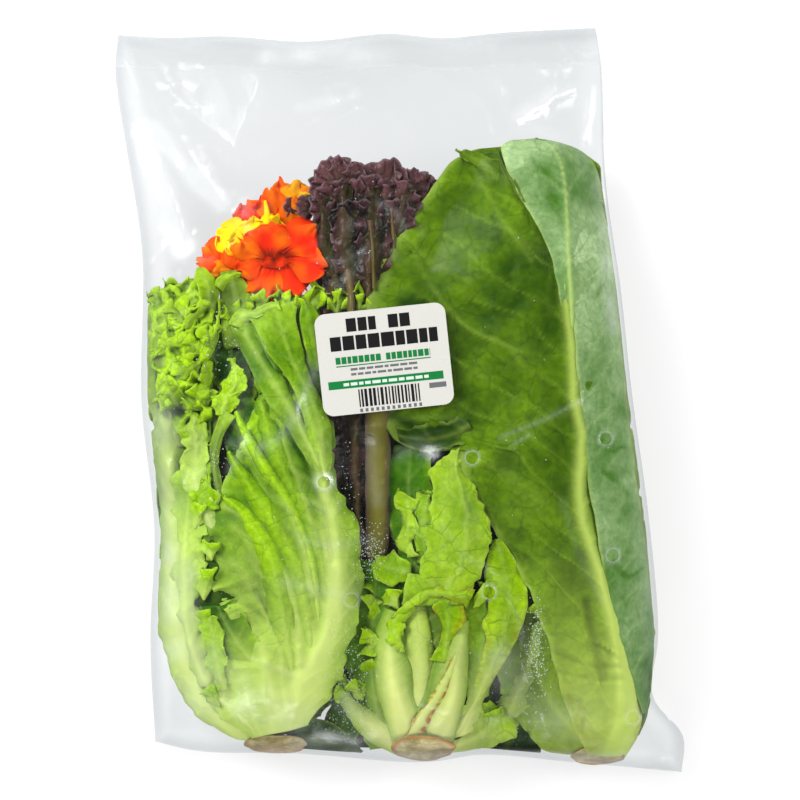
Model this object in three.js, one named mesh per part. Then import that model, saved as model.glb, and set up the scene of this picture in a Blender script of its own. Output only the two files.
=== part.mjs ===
// A clear film bag of mixed lettuce heads and edible flowers, lying on its back with the label up.
// X runs across the bag, Y from its bottom seam to its folded top, Z up from the surface it lies on.
// The closed bag is one solid, and the heads, leaf ribs, frills and flowers stand up under its film.
import * as THREE from "three";

// Driving sizes in millimetres
const MIDDLE = { across: 230, along: 342 }; // the bag at its middle, seen from above
const RIM = 1.2; // thickness of the two films where they meet
const FLAP_LIFT = 3.4; // height of the corners and of the top edge
const TOP_WAVE = 2.5; // how much the top edge waves up and down
const SIDE_BOW = { lift: 20, power: 0.7 }; // height of the side edge at mid length, and how broad its arch is
const SEAM_BOW = { lift: 17, power: 0.55 }; // the same for the bottom seam
const TURN_OVER = { side: 30, bottom: 19, top: 72 }; // how far in from each edge the film still rises
const HEM = { depth: 18, thickness: 0.7, step: 3 }; // the film folded over at the top
const SOFT = 12; // how widely the film rounds off where it passes from one packed thing to the next
const SLACK = { low: 20, high: 46, from: 0.06, to: 0.88, power: 0.8 }; // the film where nothing lies under it
const SHOULDER = 0.55; // share of its crown that a packed thing still has at its half width
const SKIRT = { start: 0.75, end: 2 }; // half widths between which a packed thing runs out to its neighbours
const LUMP_BEND = 1.3; // how far the rows of lumps bend, in radians
const BACK_ROUND = { across: 0.1, along: 0.065 }; // share of the bag over which its back comes down
const BACK_RINGS = 4;
const COLUMNS = 56;
const ROWS = 78;
const EDGE_CLUSTER = 0.15; // how much finer the grid is near the edges
const LABEL = {
  centre: [-7, 18.8],
  size: [61, 47.5],
  corner: 5,
  turn: THREE.MathUtils.degToRad(6),
  thickness: 0.4,
  gap: 0.3,
  height: 55.5,
  slope: [0.035, -0.02],
  flatMargin: 6,
};

// Outline of the bag seen from above, from the bottom left corner round to the top left one
const OUTLINE = {
  bottom: [[-115, -161], [-94, -165], [-47, -166], [11.8, -170], [39, -166.5], [80, -170], [133, -175.3]],
  right: [
    [133, -175.3], [133.4, -158], [119, -139], [121.5, -110], [117, -55],
    [109, 4], [104, 51], [97, 102], [95, 155], [92.5, 175.3],
  ],
  top: [
    [-132.5, 172], [-110, 170.6], [-82, 171.4], [-44, 168.8],
    [-5, 172.6], [20, 170.4], [50, 173.2], [92.5, 175.3],
  ],
  left: [
    [-115, -161], [-117, -113], [-115, -60], [-121, 0],
    [-120.5, 68], [-128, 118], [-133.4, 153], [-132.5, 172],
  ],
};

// Each packed thing: points along its middle as [x, y, half width, height of its crown]
const PACKED = {
  batavia: [
    [-62, -163, 15, 30], [-63.5, -140, 30, 43], [-63.5, -112, 40, 52],
    [-61, -75, 45, 59], [-54, -23, 41, 59], [-51, 36, 28, 49],
  ],
  frilly: [[-84, -152, 12, 24], [-101, -94, 20, 38], [-106, -23, 24, 42], [-95, 28, 30, 48], [-94, 50, 24, 42]],
  heart: [[10.5, -166, 15, 30], [13, -140, 30, 45], [23, -103, 38, 52], [26, -66, 32, 55], [23, -33, 20, 52]],
  romaine: [
    [90, -168, 17, 30], [94, -138, 30, 45], [87, -94, 38, 55], [80, -47, 44, 60],
    [66, 0, 52, 61], [60, 50, 50, 59], [60, 80, 42, 54], [62, 98, 30, 44],
  ],
  redLeaf: [[-9, -85, 13, 38], [-10, -23, 16, 44], [-14, 33, 26, 48], [-16, 70, 34, 48], [-18, 97, 30, 36]],
  flowers: [[-82, 64, 16, 37], [-64, 70, 24, 42], [-52, 88, 20, 36]],
};

// Leaf ribs that press the film up: points [x, y], half width and height
const RIBS = [
  { path: [[77.5, 103], [79, 47], [83, 0], [89, -47], [97, -94], [106, -141]], half: 5, rise: 2.6 },
  { path: [[-47, -150], [-27, -94], [-28, -47], [-46, -9], [-66, 33]], half: 6, rise: 2.6 },
  { path: [[-77, -158], [-98, -113], [-101, -75], [-98, -38]], half: 6, rise: 2.4 },
  { path: [[-62, -140], [-56, -80], [-62, -30]], half: 6, rise: 1.8 },
  { path: [[4, -160], [-2, -136], [-4, -112]], half: 6, rise: 2.4 },
  { path: [[18, -156], [33, -131], [46, -103]], half: 6, rise: 2.4 },
  { path: [[22, -130], [30, -80], [28, -40]], half: 6, rise: 2 },
];

// Frilled edges and petals make the film lumpy: which packed thing, the size of a lump and its height
const LUMPS = {
  frilly: { pitch: 27, rise: 3 },
  redLeaf: { pitch: 25, rise: 2.6 },
  flowers: { pitch: 29, rise: 3.4 },
};

const { sin, sqrt, max, min, abs, PI, hypot } = Math;
const clamp01 = (t) => min(max(t, 0), 1);
const smoothstep = (t) => clamp01(t) ** 2 * (3 - 2 * clamp01(t));
const smoothMax = (a, b, soft) => max(a, b) + (max(soft - abs(a - b), 0) / soft) ** 2 * (soft / 4);
const archOver = (t, power) => sin(PI * clamp01(t)) ** power;

// The side and bottom edges stand off the surface in their middle; the top edge waves a little
function edgeCurve(points, bow, wave) {
  const last = points.length - 1;
  const arch = (i) => (bow.lift - FLAP_LIFT) * archOver(i / last, bow.power);
  const ripple = (i) => (i % 2 && i < last ? wave : 0);
  return new THREE.CatmullRomCurve3(
    points.map(([x, y], i) => new THREE.Vector3(x, y, FLAP_LIFT + arch(i) + ripple(i))),
  );
}
const edges = {
  bottom: edgeCurve(OUTLINE.bottom, SEAM_BOW, 0),
  top: edgeCurve(OUTLINE.top, { lift: FLAP_LIFT, power: 1 }, TOP_WAVE),
  left: edgeCurve(OUTLINE.left, SIDE_BOW, 0),
  right: edgeCurve(OUTLINE.right, SIDE_BOW, 0),
};
const corner = {
  bl: edges.bottom.getPoint(0),
  br: edges.bottom.getPoint(1),
  tl: edges.top.getPoint(0),
  tr: edges.top.getPoint(1),
};

// A point of the sheet stretched between the four edges, u across and v along
function sheetPoint(u, v) {
  const p = new THREE.Vector3();
  const add = (point, weight) => p.addScaledVector(point, weight);
  add(edges.left.getPointAt(v), 1 - u);
  add(edges.right.getPointAt(v), u);
  add(edges.bottom.getPointAt(u), 1 - v);
  add(edges.top.getPointAt(u), v);
  add(corner.bl, -(1 - u) * (1 - v));
  add(corner.br, -u * (1 - v));
  add(corner.tl, -(1 - u) * v);
  add(corner.tr, -u * v);
  return p;
}

// Nearest place on a line of points: how far off it is, and the other values of the points there
function nearest(x, y, line) {
  let best = { off: Infinity };
  for (let i = 0; i + 1 < line.length; i++) {
    const [ax, ay, ...a] = line[i];
    const [bx, by, ...b] = line[i + 1];
    const t = clamp01(((x - ax) * (bx - ax) + (y - ay) * (by - ay)) / ((bx - ax) ** 2 + (by - ay) ** 2));
    const off = hypot(x - ax - t * (bx - ax), y - ay - t * (by - ay));
    if (off < best.off) best = { off, values: a.map((value, k) => value + t * (b[k] - value)) };
  }
  return best;
}

// The same line with its corners rounded off
function rounded(line) {
  const steps = 6 * (line.length - 1);
  const through = (pick) => new THREE.CatmullRomCurve3(line.map(pick)).getPoints(steps);
  const places = through(([x, y]) => new THREE.Vector3(x, y, 0));
  const sizes = through(([, , half, crown]) => new THREE.Vector3(half, crown, 0));
  return places.map((place, i) => [place.x, place.y, sizes[i].x, sizes[i].y]);
}
const packed = Object.entries(PACKED).map(([name, line]) => ({ line: rounded(line), lump: LUMPS[name] }));

// The crown of one packed thing: round across its width, with a skirt that leans out to its neighbours
function packedHeight(x, y, { line, lump }) {
  const { off, values } = nearest(x, y, line);
  const [half, crown] = values;
  const round = sqrt(max(1 - (off / half) ** 2, 0));
  const skirt = smoothstep((SKIRT.end - off / half) / (SKIRT.end - SKIRT.start));
  const body = crown * (SHOULDER + (1 - SHOULDER) * round) * skirt;
  if (!lump) return body;
  const bend = LUMP_BEND * sin(y / lump.pitch);
  return body + lump.rise * round * sin((x / lump.pitch) * 2 * PI + bend) * sin((y / lump.pitch) * 2 * PI);
}

function ribHeight(x, y) {
  return RIBS.reduce((sum, { path, half, rise }) => {
    const off = nearest(x, y, path).off / half;
    return sum + rise * Math.exp(-off * off * 2);
  }, 0);
}

// Height of the film where it hangs between the packed things
function slackHeight(u, v) {
  const arch = archOver(SLACK.from + v * (SLACK.to - SLACK.from), SLACK.power);
  return (SLACK.low + (SLACK.high - SLACK.low) * arch) * (1 - abs(2 * u - 1) ** 3);
}

const labelFrame = { cos: Math.cos(LABEL.turn), sin: Math.sin(LABEL.turn) };
function toLabel(x, y) {
  const [dx, dy] = [x - LABEL.centre[0], y - LABEL.centre[1]];
  return [dx * labelFrame.cos + dy * labelFrame.sin, dy * labelFrame.cos - dx * labelFrame.sin];
}
function labelPlane(x, y) {
  return LABEL.height + LABEL.slope[0] * (x - LABEL.centre[0]) + LABEL.slope[1] * (y - LABEL.centre[1]);
}

// The upper film: it rests on what is packed, is flat under the label, and comes down to its edge all round
function filmHeight(x, y, u, v, edge) {
  let height = packed.reduce((top, thing) => smoothMax(top, packedHeight(x, y, thing), SOFT), slackHeight(u, v));
  height += ribHeight(x, y);
  const [lx, ly] = toLabel(x, y);
  const outside = max(abs(lx) - LABEL.size[0] / 2, abs(ly) - LABEL.size[1] / 2) - LABEL.flatMargin / 2;
  height += (labelPlane(x, y) - height) * smoothstep(1 - outside / LABEL.flatMargin / 2);
  const fromSide = min(u, 1 - u) * MIDDLE.across;
  const fromBottom = v * MIDDLE.along;
  const fromTop = (1 - v) * MIDDLE.along;
  const turnOver = (inside, round) => sqrt(1 - (1 - clamp01(inside / round)) ** 2);
  const endRise = turnOver(fromBottom, TURN_OVER.bottom) * turnOver(fromTop, TURN_OVER.top);
  const rise = turnOver(fromSide, TURN_OVER.side) * endRise;
  const hem = HEM.thickness * (1 - smoothstep((fromTop - HEM.depth) / HEM.step));
  return edge + RIM / 2 + max(height - edge, 0) * rise + hem;
}

// The bag: an upper film on a grid, a rim, and a back that comes down in rings to a flat base
function bagGeometry() {
  const spread = (i, n) => i / n - (EDGE_CLUSTER * sin((2 * PI * i) / n)) / (2 * PI);
  const vertices = [];
  const faces = [];
  const addVertex = (x, y, z) => vertices.push(x, y, z) / 3 - 1;

  const grid = Array.from({ length: ROWS + 1 }, (_, j) =>
    Array.from({ length: COLUMNS + 1 }, (__, i) => {
      const [u, v] = [spread(i, COLUMNS), spread(j, ROWS)];
      const p = sheetPoint(u, v);
      const onEdge = i === 0 || j === 0 || i === COLUMNS || j === ROWS;
      return addVertex(p.x, p.y, onEdge ? p.z + RIM / 2 : filmHeight(p.x, p.y, u, v, p.z));
    }),
  );
  for (let j = 0; j < ROWS; j++) {
    for (let i = 0; i < COLUMNS; i++) {
      const [a, b, c, d] = [grid[j][i], grid[j][i + 1], grid[j + 1][i + 1], grid[j + 1][i]];
      if ((i + j) % 2) faces.push(a, b, c, a, c, d);
      else faces.push(a, b, d, b, c, d);
    }
  }

  // Places round the rim, anticlockwise from the bottom left corner
  const rim = [];
  for (let i = 0; i < COLUMNS; i++) rim.push([i, 0]);
  for (let j = 0; j < ROWS; j++) rim.push([COLUMNS, j]);
  for (let i = COLUMNS; i > 0; i--) rim.push([i, ROWS]);
  for (let j = ROWS; j > 0; j--) rim.push([0, j]);

  let outer = rim.map(([i, j]) => grid[j][i]);
  const joinTo = (inner) => {
    inner.forEach((vertex, k) => {
      const next = (k + 1) % inner.length;
      faces.push(outer[k], vertex, outer[next], vertex, inner[next], outer[next]);
    });
    outer = inner;
  };
  for (let ring = 0; ring <= BACK_RINGS; ring++) {
    const t = ring / BACK_RINGS;
    joinTo(
      rim.map(([i, j]) => {
        const [u, v] = [spread(i, COLUMNS), spread(j, ROWS)];
        const [insetU, insetV] = [t * BACK_ROUND.across, t * BACK_ROUND.along];
        const p = sheetPoint(insetU + u * (1 - 2 * insetU), insetV + v * (1 - 2 * insetV));
        const down = 1 - sqrt(1 - (1 - t) ** 2);
        return addVertex(p.x, p.y, (sheetPoint(u, v).z - RIM / 2) * down);
      }),
    );
  }
  const base = outer.map((vertex) => new THREE.Vector2(vertices[vertex * 3], vertices[vertex * 3 + 1]));
  for (const [a, b, c] of THREE.ShapeUtils.triangulateShape(base, [])) faces.push(outer[a], outer[c], outer[b]);

  const geometry = new THREE.BufferGeometry();
  geometry.setAttribute("position", new THREE.Float32BufferAttribute(vertices, 3));
  geometry.setIndex(faces);
  geometry.computeVertexNormals();
  return geometry;
}

// The stuck label: a thin sheet with round corners
function labelGeometry() {
  const [w, h] = LABEL.size.map((side) => side / 2);
  const r = LABEL.corner;
  const shape = new THREE.Shape();
  shape.moveTo(-w + r, -h);
  shape.lineTo(w - r, -h).absarc(w - r, -h + r, r, -PI / 2, 0);
  shape.lineTo(w, h - r).absarc(w - r, h - r, r, 0, PI / 2);
  shape.lineTo(-w + r, h).absarc(-w + r, h - r, r, PI / 2, PI);
  shape.lineTo(-w, -h + r).absarc(-w + r, -h + r, r, PI, 1.5 * PI);
  return new THREE.ExtrudeGeometry(shape, { depth: LABEL.thickness, bevelEnabled: false, curveSegments: 6 });
}

function piece(name, geometry, color, roughness) {
  const material = new THREE.MeshStandardMaterial({ color, roughness, metalness: 0 });
  const mesh = new THREE.Mesh(geometry, material);
  mesh.name = name;
  return mesh;
}

const bag = piece("bag", bagGeometry(), "#8fc04a", 0.25);

const label = piece("label", labelGeometry(), "#f4f3ee", 0.5);
const labelNormal = new THREE.Vector3(-LABEL.slope[0], -LABEL.slope[1], 1).normalize();
label.position.set(...LABEL.centre, LABEL.height + RIM / 2 + LABEL.gap);
label.quaternion
  .setFromUnitVectors(new THREE.Vector3(0, 0, 1), labelNormal)
  .multiply(new THREE.Quaternion().setFromAxisAngle(new THREE.Vector3(0, 0, 1), LABEL.turn));

// The origin is the middle of the footprint, on the surface
const pack = new THREE.Group();
pack.add(bag, label);
const middle = new THREE.Box3().setFromObject(pack, true).getCenter(new THREE.Vector3());
pack.position.set(-middle.x, -middle.y, 0);

export default pack;
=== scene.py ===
"""A clear film bag of lettuce heads, a red leaf and edible flowers, lying on its back with its label up.

Lengths are millimetres in the bag's own frame unless a comment says otherwise: X runs across the bag, Y from
its bottom seam to its folded top and Z up. Meshes are turned to metres when they are made.
"""

import math

import bpy
import numpy as np
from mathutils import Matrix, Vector
from mathutils.bvhtree import BVHTree


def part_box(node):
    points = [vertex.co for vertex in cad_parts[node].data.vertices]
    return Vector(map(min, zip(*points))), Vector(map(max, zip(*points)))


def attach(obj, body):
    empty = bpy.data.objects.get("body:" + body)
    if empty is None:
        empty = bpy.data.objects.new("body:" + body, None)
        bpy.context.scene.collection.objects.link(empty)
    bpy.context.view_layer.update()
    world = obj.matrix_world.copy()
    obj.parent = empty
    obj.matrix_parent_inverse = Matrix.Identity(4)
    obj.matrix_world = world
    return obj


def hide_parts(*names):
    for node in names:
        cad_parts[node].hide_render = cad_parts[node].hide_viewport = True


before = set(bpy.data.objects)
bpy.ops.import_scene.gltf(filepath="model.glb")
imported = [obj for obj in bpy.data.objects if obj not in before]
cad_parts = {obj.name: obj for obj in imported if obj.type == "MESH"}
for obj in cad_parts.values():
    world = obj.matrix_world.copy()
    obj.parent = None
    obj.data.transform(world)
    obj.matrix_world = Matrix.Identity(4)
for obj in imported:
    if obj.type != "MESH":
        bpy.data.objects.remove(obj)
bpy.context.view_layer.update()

MM = 0.001
PHOTO_MIDDLE = 400  # pixel in the middle of the 800 x 800 photograph
PHOTO_SCALE = 0.47  # mm of the bag that one pixel of the photograph covers
UNDER_FILM = 0.9  # the least gap between a leaf and the film over it
OFF_FLOOR = 0.4  # mm that the back film keeps above what the bag lies on
rng = np.random.default_rng(11)


# Small tools for numbers and curves


def pixels(path):
    """Pixels of the photograph, written as "x,y x,y", as an array; an array comes back as it is."""
    if isinstance(path, str):
        path = [[float(part) for part in pair.split(",")] for pair in path.split()]
    return np.asarray(path, float)


def at(path):
    """Places in mm of pixels of the photograph, which looks straight down on the bag."""
    p = pixels(path)
    return np.column_stack([p[:, 0] - PHOTO_MIDDLE, PHOTO_MIDDLE - p[:, 1]]) * PHOTO_SCALE


def length_of(line):
    return np.linalg.norm(np.diff(line, axis=0), axis=1).sum()


def heading_of(line):
    """Unit vectors along a line."""
    heading = np.gradient(line, axis=0)
    return heading / np.maximum(np.linalg.norm(heading, axis=1), 1e-6)[:, None]


def shares(rows, columns, low=0, high=1):
    """How far down and across a sheet each of its points is."""
    return np.linspace(0, 1, rows)[:, None], np.linspace(low, high, columns)[None, :]


def ease(x, low, high):
    """0 below low, 1 above high and a smooth rise between them."""
    t = np.clip((x - low) / (high - low), 0, 1)
    return t * t * (3 - 2 * t)


def curve(points, n):
    """A smooth curve through the points, as n places evenly far apart along it."""
    p = np.asarray(points, float)
    p = p.reshape(len(p), -1)
    if len(p) == 2:
        p = np.vstack([p[0], p.mean(0), p[1]])
    ends = np.vstack([2 * p[0] - p[1], p, 2 * p[-1] - p[-2]])
    t = np.linspace(0, 1, 24, endpoint=False)[:, None]
    dense = []
    for a, b, c, d in zip(ends, ends[1:], ends[2:], ends[3:]):
        dense.append(b + 0.5 * t * (c - a + t * (2 * a - 5 * b + 4 * c - d + t * (3 * (b - c) + d - a))))
    dense = np.vstack(dense + [p[-1:]])
    steps = np.linalg.norm(np.diff(dense[:, :2], axis=0), axis=1)
    run = np.concatenate([[0], np.cumsum(steps)])
    wanted = np.linspace(0, run[-1], n)
    return np.column_stack([np.interp(wanted, run, column) for column in dense.T])


def along(values, n):
    """The values spread evenly along a leaf, read at n places; one number is the same all along."""
    values = np.atleast_1d(np.asarray(values, float))
    if len(values) == 1:
        return np.full(n, values[0])
    return np.interp(np.linspace(0, 1, n), np.linspace(0, 1, len(values)), values)


LATTICE = rng.uniform(-1, 1, (128, 128))


def noise(x, y, size, layer=0):
    """Smooth random relief from about -1 to 1, in lumps of that size."""
    u = np.asarray(x) / size + 31.7 * layer
    v = np.asarray(y) / size + 12.9 * layer
    i, j = np.floor(u).astype(int), np.floor(v).astype(int)
    f, g = u - i, v - j
    f, g = f * f * (3 - 2 * f), g * g * (3 - 2 * g)
    n = len(LATTICE)
    corner = lambda di, dj: LATTICE[(i + di) % n, (j + dj) % n]
    near = corner(0, 0) * (1 - f) + corner(1, 0) * f
    far = corner(0, 1) * (1 - f) + corner(1, 1) * f
    return 1.4 * (near * (1 - g) + far * g)


def rough_noise(x, y, size, layer=0):
    """Relief with finer lumps on the coarse ones."""
    coarse, middle, fine = [noise(x, y, size / 2**k, layer + k) for k in range(3)]
    return coarse + 0.5 * middle + 0.25 * fine


def strokes(x, y, lines, sharp=False):
    """Relief and paleness of lines drawn on a surface: each is its pixels, rise, half width and paleness."""
    rise, pale = np.zeros_like(x), np.zeros_like(x)
    for path, height_of_line, half, paleness in lines:
        line = at(path)
        line = curve(line, max(4 * len(line), 8))
        a, step = line[:-1], np.diff(line, axis=0)
        near = np.full(x.shape, np.inf)
        for (ax, ay), (dx, dy) in zip(a, step):
            t = np.clip(((x - ax) * dx + (y - ay) * dy) / max(dx * dx + dy * dy, 1e-9), 0, 1)
            near = np.minimum(near, (x - ax - t * dx) ** 2 + (y - ay - t * dy) ** 2)
        shape = np.exp(-np.sqrt(near) / half) if sharp else np.exp(-near / half**2)
        rise += height_of_line * shape
        pale = np.maximum(pale, paleness * shape)
    return rise, pale


# The bag's own surface, read from the frame's solid


READ_STEP = 1.5  # mm between the places where the solid's height is read
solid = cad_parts["bag"].data
solid_tree = BVHTree.FromPolygons([v.co[:] for v in solid.vertices], [p.vertices[:] for p in solid.polygons])


def hit_height(x, y, down):
    """Height of the solid's upper or lower surface at a place, in mm, or nan beside it."""
    start = Vector((x * MM, y * MM, 1.0 if down else -1.0))
    hit = solid_tree.ray_cast(start, Vector((0, 0, -1.0 if down else 1.0)))[0]
    return hit.z / MM if hit else math.nan


def blurred(field, times):
    for _ in range(times):
        padded = np.pad(field, 1, mode="edge")
        field = (padded[:-2, 1:-1] + padded[2:, 1:-1] + padded[1:-1, :-2] + padded[1:-1, 2:] + 2 * field) / 6
    return field


def read_heights(down):
    low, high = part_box("bag")
    xs = np.arange(low.x / MM - 6, high.x / MM + 6, READ_STEP)
    ys = np.arange(low.y / MM - 6, high.y / MM + 6, READ_STEP)
    field = np.array([[hit_height(x, y, down) for x in xs] for y in ys])
    while np.isnan(field).any():
        padded = np.pad(field, 1, mode="edge")
        sides = np.array([padded[:-2, 1:-1], padded[2:, 1:-1], padded[1:-1, :-2], padded[1:-1, 2:]])
        known = ~np.isnan(sides)
        mean = np.where(known, sides, 0).sum(0) / np.maximum(known.sum(0), 1)
        grow = np.isnan(field) & known.any(0)
        field = np.where(grow, mean, field)
    return xs, ys, blurred(field, 2)


HEIGHTS = {"front": read_heights(True), "back": read_heights(False)}


def height(face, x, y):
    """Height of the film over or under a place."""
    xs, ys, field = HEIGHTS[face]
    u = np.clip((np.asarray(x) - xs[0]) / READ_STEP, 0, len(xs) - 1.001)
    v = np.clip((np.asarray(y) - ys[0]) / READ_STEP, 0, len(ys) - 1.001)
    i, j = u.astype(int), v.astype(int)
    f, g = u - i, v - j
    near = field[j, i] * (1 - f) + field[j, i + 1] * f
    far = field[j + 1, i] * (1 - f) + field[j + 1, i + 1] * f
    return near * (1 - g) + far * g


# The film's side edges and bottom seam seen from above
LEFT_EDGE = at("155,740 151,640 156,530 143,400 143,255 127,150 117,75")
RIGHT_EDGE = at("680,765 655,696 659,634 649,517 632,391 621,291 606,183 602,70")
BOTTOM_EDGE = at("155,740 200,748 300,752 362,757 425,762 483,752 570,760 680,765")


def kept_in(x, y, gap=2.5):
    """The same places, with those outside the bag pressed back to just inside its edges."""
    floor = np.interp(x, BOTTOM_EDGE[:, 0], BOTTOM_EDGE[:, 1]) + gap
    y = np.where(y < floor, floor + 0.1 * (y - floor), y)
    low = np.interp(y, LEFT_EDGE[:, 1], LEFT_EDGE[:, 0]) + gap
    high = np.interp(y, RIGHT_EDGE[:, 1], RIGHT_EDGE[:, 0]) - gap
    x = np.where(x < low, low + 0.1 * (x - low), x)
    x = np.where(x > high, high + 0.1 * (x - high), x)
    return x, y


def under_film(x, y, depth):
    """Height of something that lies depth mm under the front film, and above the back one."""
    top, bottom = height("front", x, y), height("back", x, y)
    room = np.maximum(top - bottom - 2 * UNDER_FILM, 0.2)
    return top - UNDER_FILM - np.minimum(np.maximum(depth, 0), room)


def over_back(x, y, depth):
    top, bottom = height("front", x, y), height("back", x, y)
    room = np.maximum(top - bottom - 2 * UNDER_FILM, 0.2)
    return bottom + UNDER_FILM + np.minimum(np.maximum(depth, 0), room)


# Meshes


def squares(rows, columns):
    """The four-sided faces between the points of a sheet."""
    index = np.arange(rows * columns).reshape(rows, columns)
    return np.stack([index[:-1, :-1], index[:-1, 1:], index[1:, 1:], index[1:, :-1]], -1).reshape(-1, 4)


class Piece:
    """Sheets and solids that are gathered into one mesh, with marks that the material reads at each point."""

    MARKS = ("pale", "young", "brown", "edge")

    def __init__(self):
        self.points, self.faces, self.marks = [], [], []
        self.count = 0

    def add(self, points, faces, **marks):
        points = np.asarray(points, float).reshape(-1, 3)
        self.points.append(points)
        self.faces.extend((np.asarray(faces) + self.count).tolist())
        flat = [np.broadcast_to(np.asarray(marks.get(m, 0.0), float), len(points)) for m in self.MARKS]
        self.marks.append(np.column_stack(flat))
        self.count += len(points)

    def add_grid(self, points, **marks):
        """A sheet given as rows of points."""
        rows, columns = points.shape[:2]
        flat = {m: np.broadcast_to(v, (rows, columns)).ravel() for m, v in marks.items()}
        self.add(points.reshape(-1, 3), squares(rows, columns), **flat)

    def build(self, name, material, slot, thickness=0.0):
        mesh = bpy.data.meshes.new(name)
        mesh.from_pydata((np.vstack(self.points) * MM).tolist(), [], self.faces)
        marks = np.vstack(self.marks).astype(np.float32)
        for k, mark in enumerate(self.MARKS):
            attribute = mesh.attributes.new(mark, "FLOAT", "POINT")
            attribute.data.foreach_set("value", np.ascontiguousarray(marks[:, k]))
        mesh.polygons.foreach_set("use_smooth", np.ones(len(mesh.polygons), bool))
        mesh.materials.append(material)
        mesh.update()
        obj = bpy.data.objects.new(name, mesh)
        bpy.context.scene.collection.objects.link(obj)
        if thickness:
            solidify = obj.modifiers.new("thickness", "SOLIDIFY")
            solidify.thickness = thickness * MM
            solidify.offset = -1
        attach(obj, "root")
        return obj


# Leaves


def blade(piece, left, right, depth, *, form, rib=0.5, young=0.4, pale=0.0, edge_tone_and_shade=0.3, drop=(2, 2),
          pitch=1.3, brown=0.0, face="front", lines=(), seed=0):
    """A leaf that lies along the film between its left and right edges, in pixels from its base to its tip.

    depth is how far under the film it lies along its length, rib where its midrib runs from edge to edge,
    drop how far each edge bends down, and form the relief of its kind. young, pale and brown colour it.
    """
    left, right = at(left), at(right)
    length = max(length_of(left), length_of(right))
    rows = max(int(length / pitch), 8)
    left, right = curve(left, rows), curve(right, rows)
    widths = np.linalg.norm(right - left, axis=1)
    s, t = shares(rows, max(int(widths.max() / pitch), 8))
    middle = along(rib, rows)[:, None]
    width = widths[:, None]
    # Share of the way from the midrib out to an edge, 1 at the edge
    reach = np.where(t < middle, middle, 1 - middle)
    out = np.abs(t - middle) / np.maximum(reach, 0.02)
    side = np.where(t < middle, -1.0, 1.0)
    across = (t - middle) * width
    run = s * length + 57.0 * seed

    # Teeth and slow waves of the margin
    tooth_depth, tooth_pitch = form["teeth"]
    bite = noise(run + 40 * side, 0 * t, tooth_pitch, seed)
    bite = bite + 0.6 * noise(run + 90 * side, 0 * t, tooth_pitch / 2.3, seed + 3)
    push = side * bite * tooth_depth * ease(out, 0.55, 1.0)
    tip_bite = noise(across, 0 * s, tooth_pitch, seed + 5) * tooth_depth * ease(s, 0.8, 1.0)
    point = left[:, None, :] * (1 - t)[..., None] + right[:, None, :] * t[..., None]
    heading = heading_of((left + right) / 2)
    over = np.column_stack([heading[:, 1], -heading[:, 0]])
    point = point + push[..., None] * over[:, None, :] + tip_bite[..., None] * heading[:, None, :]

    # Ruffles swell towards the margin and fold over on themselves there
    rise, wave = form["ruffle"]
    phase = 2 * np.pi * run / wave + 2.2 * noise(run, across, wave, seed) + 1.4 * side
    at_tip = ease(s, 0.75, 1.0) ** 2 * form.get("tip_ruffle", 0.6)
    swell = np.maximum(out ** form.get("ruffle_power", 3), at_tip)
    ruffle = rise * swell * (np.sin(phase) + 0.35 * np.sin(2.6 * phase + 3 * out))
    slide = 0.6 * rise * swell * np.sin(2 * phase + 0.7)
    point = point + slide[..., None] * heading[:, None, :]
    x, y = kept_in(point[..., 0], point[..., 1])

    # Midrib and side veins stand out of the leaf, and the leaf puckers between them
    rib_rise, rib_wide, rib_narrow = form["rib"]
    rib_half = rib_wide + (rib_narrow - rib_wide) * s ** 0.7
    ridge = np.exp(-((across / rib_half) ** 2))
    vein_pitch, vein_lean, vein_rise, vein_half = form["veins"]
    lane = (run - vein_lean * np.abs(across) + 5 * noise(x, y, 22, seed) + 60 * side) / vein_pitch
    off = np.abs(lane - np.round(lane)) * vein_pitch / math.hypot(1, vein_lean)
    vein = np.exp(-((off / vein_half) ** 2)) * (1 - ease(out, 0.55, 0.98))
    pucker_rise, pucker_size = form["pucker"]
    pucker = pucker_rise * rough_noise(x, y, pucker_size, seed + 9) * (1 - 0.8 * np.maximum(ridge, vein))
    pucker = pucker * ease(out, 0, 0.15)
    quilt = form.get("quilt", 0.0) * np.sin(np.pi * np.abs(lane - np.round(lane))) * (1 - ridge)
    drawn, drawn_pale = strokes(x, y, lines)
    relief = rib_rise * ridge + vein_rise * vein + pucker - quilt + ruffle + drawn
    bend = np.where(side < 0, drop[0], drop[1]) * out ** 2
    lies = along(depth, rows)[:, None] + bend - relief
    z = under_film(x, y, lies) if face == "front" else over_back(x, y, lies)

    paleness = along(pale, rows)[:, None] * (1 - form.get("pale_fade", 0.35) * out)
    paleness = paleness + 0.9 * ridge * form["rib_pale"] * (1 - 0.45 * s)
    paleness = paleness + 0.6 * vein * form["vein_pale"] * (1 - 0.3 * s) + drawn_pale
    patchy = form.get("uneven", 0.22) * noise(x, y, 26, seed + 2)
    # The edge term lightens margins, partly a real paler margin and partly painted sheen, and where it is
    # negative it darkens them as painted shade
    fresh = along(young, rows)[:, None] + edge_tone_and_shade * out**2 + patchy
    # Painted light and shade: raised relief lighter, hollows and drawn creases darker
    fresh = fresh + 0.13 * (relief - 0.5) + 0.2 * np.minimum(drawn, 0)
    browning = along(brown, rows)[:, None] * ease(out, 0.3, 1)
    piece.add_grid(np.dstack([x, y, z]), pale=np.clip(paleness, 0, 1), young=np.clip(fresh, 0, 1),
                   brown=np.clip(browning, 0, 1), edge=ease(out, 0.9, 1.0))


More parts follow.
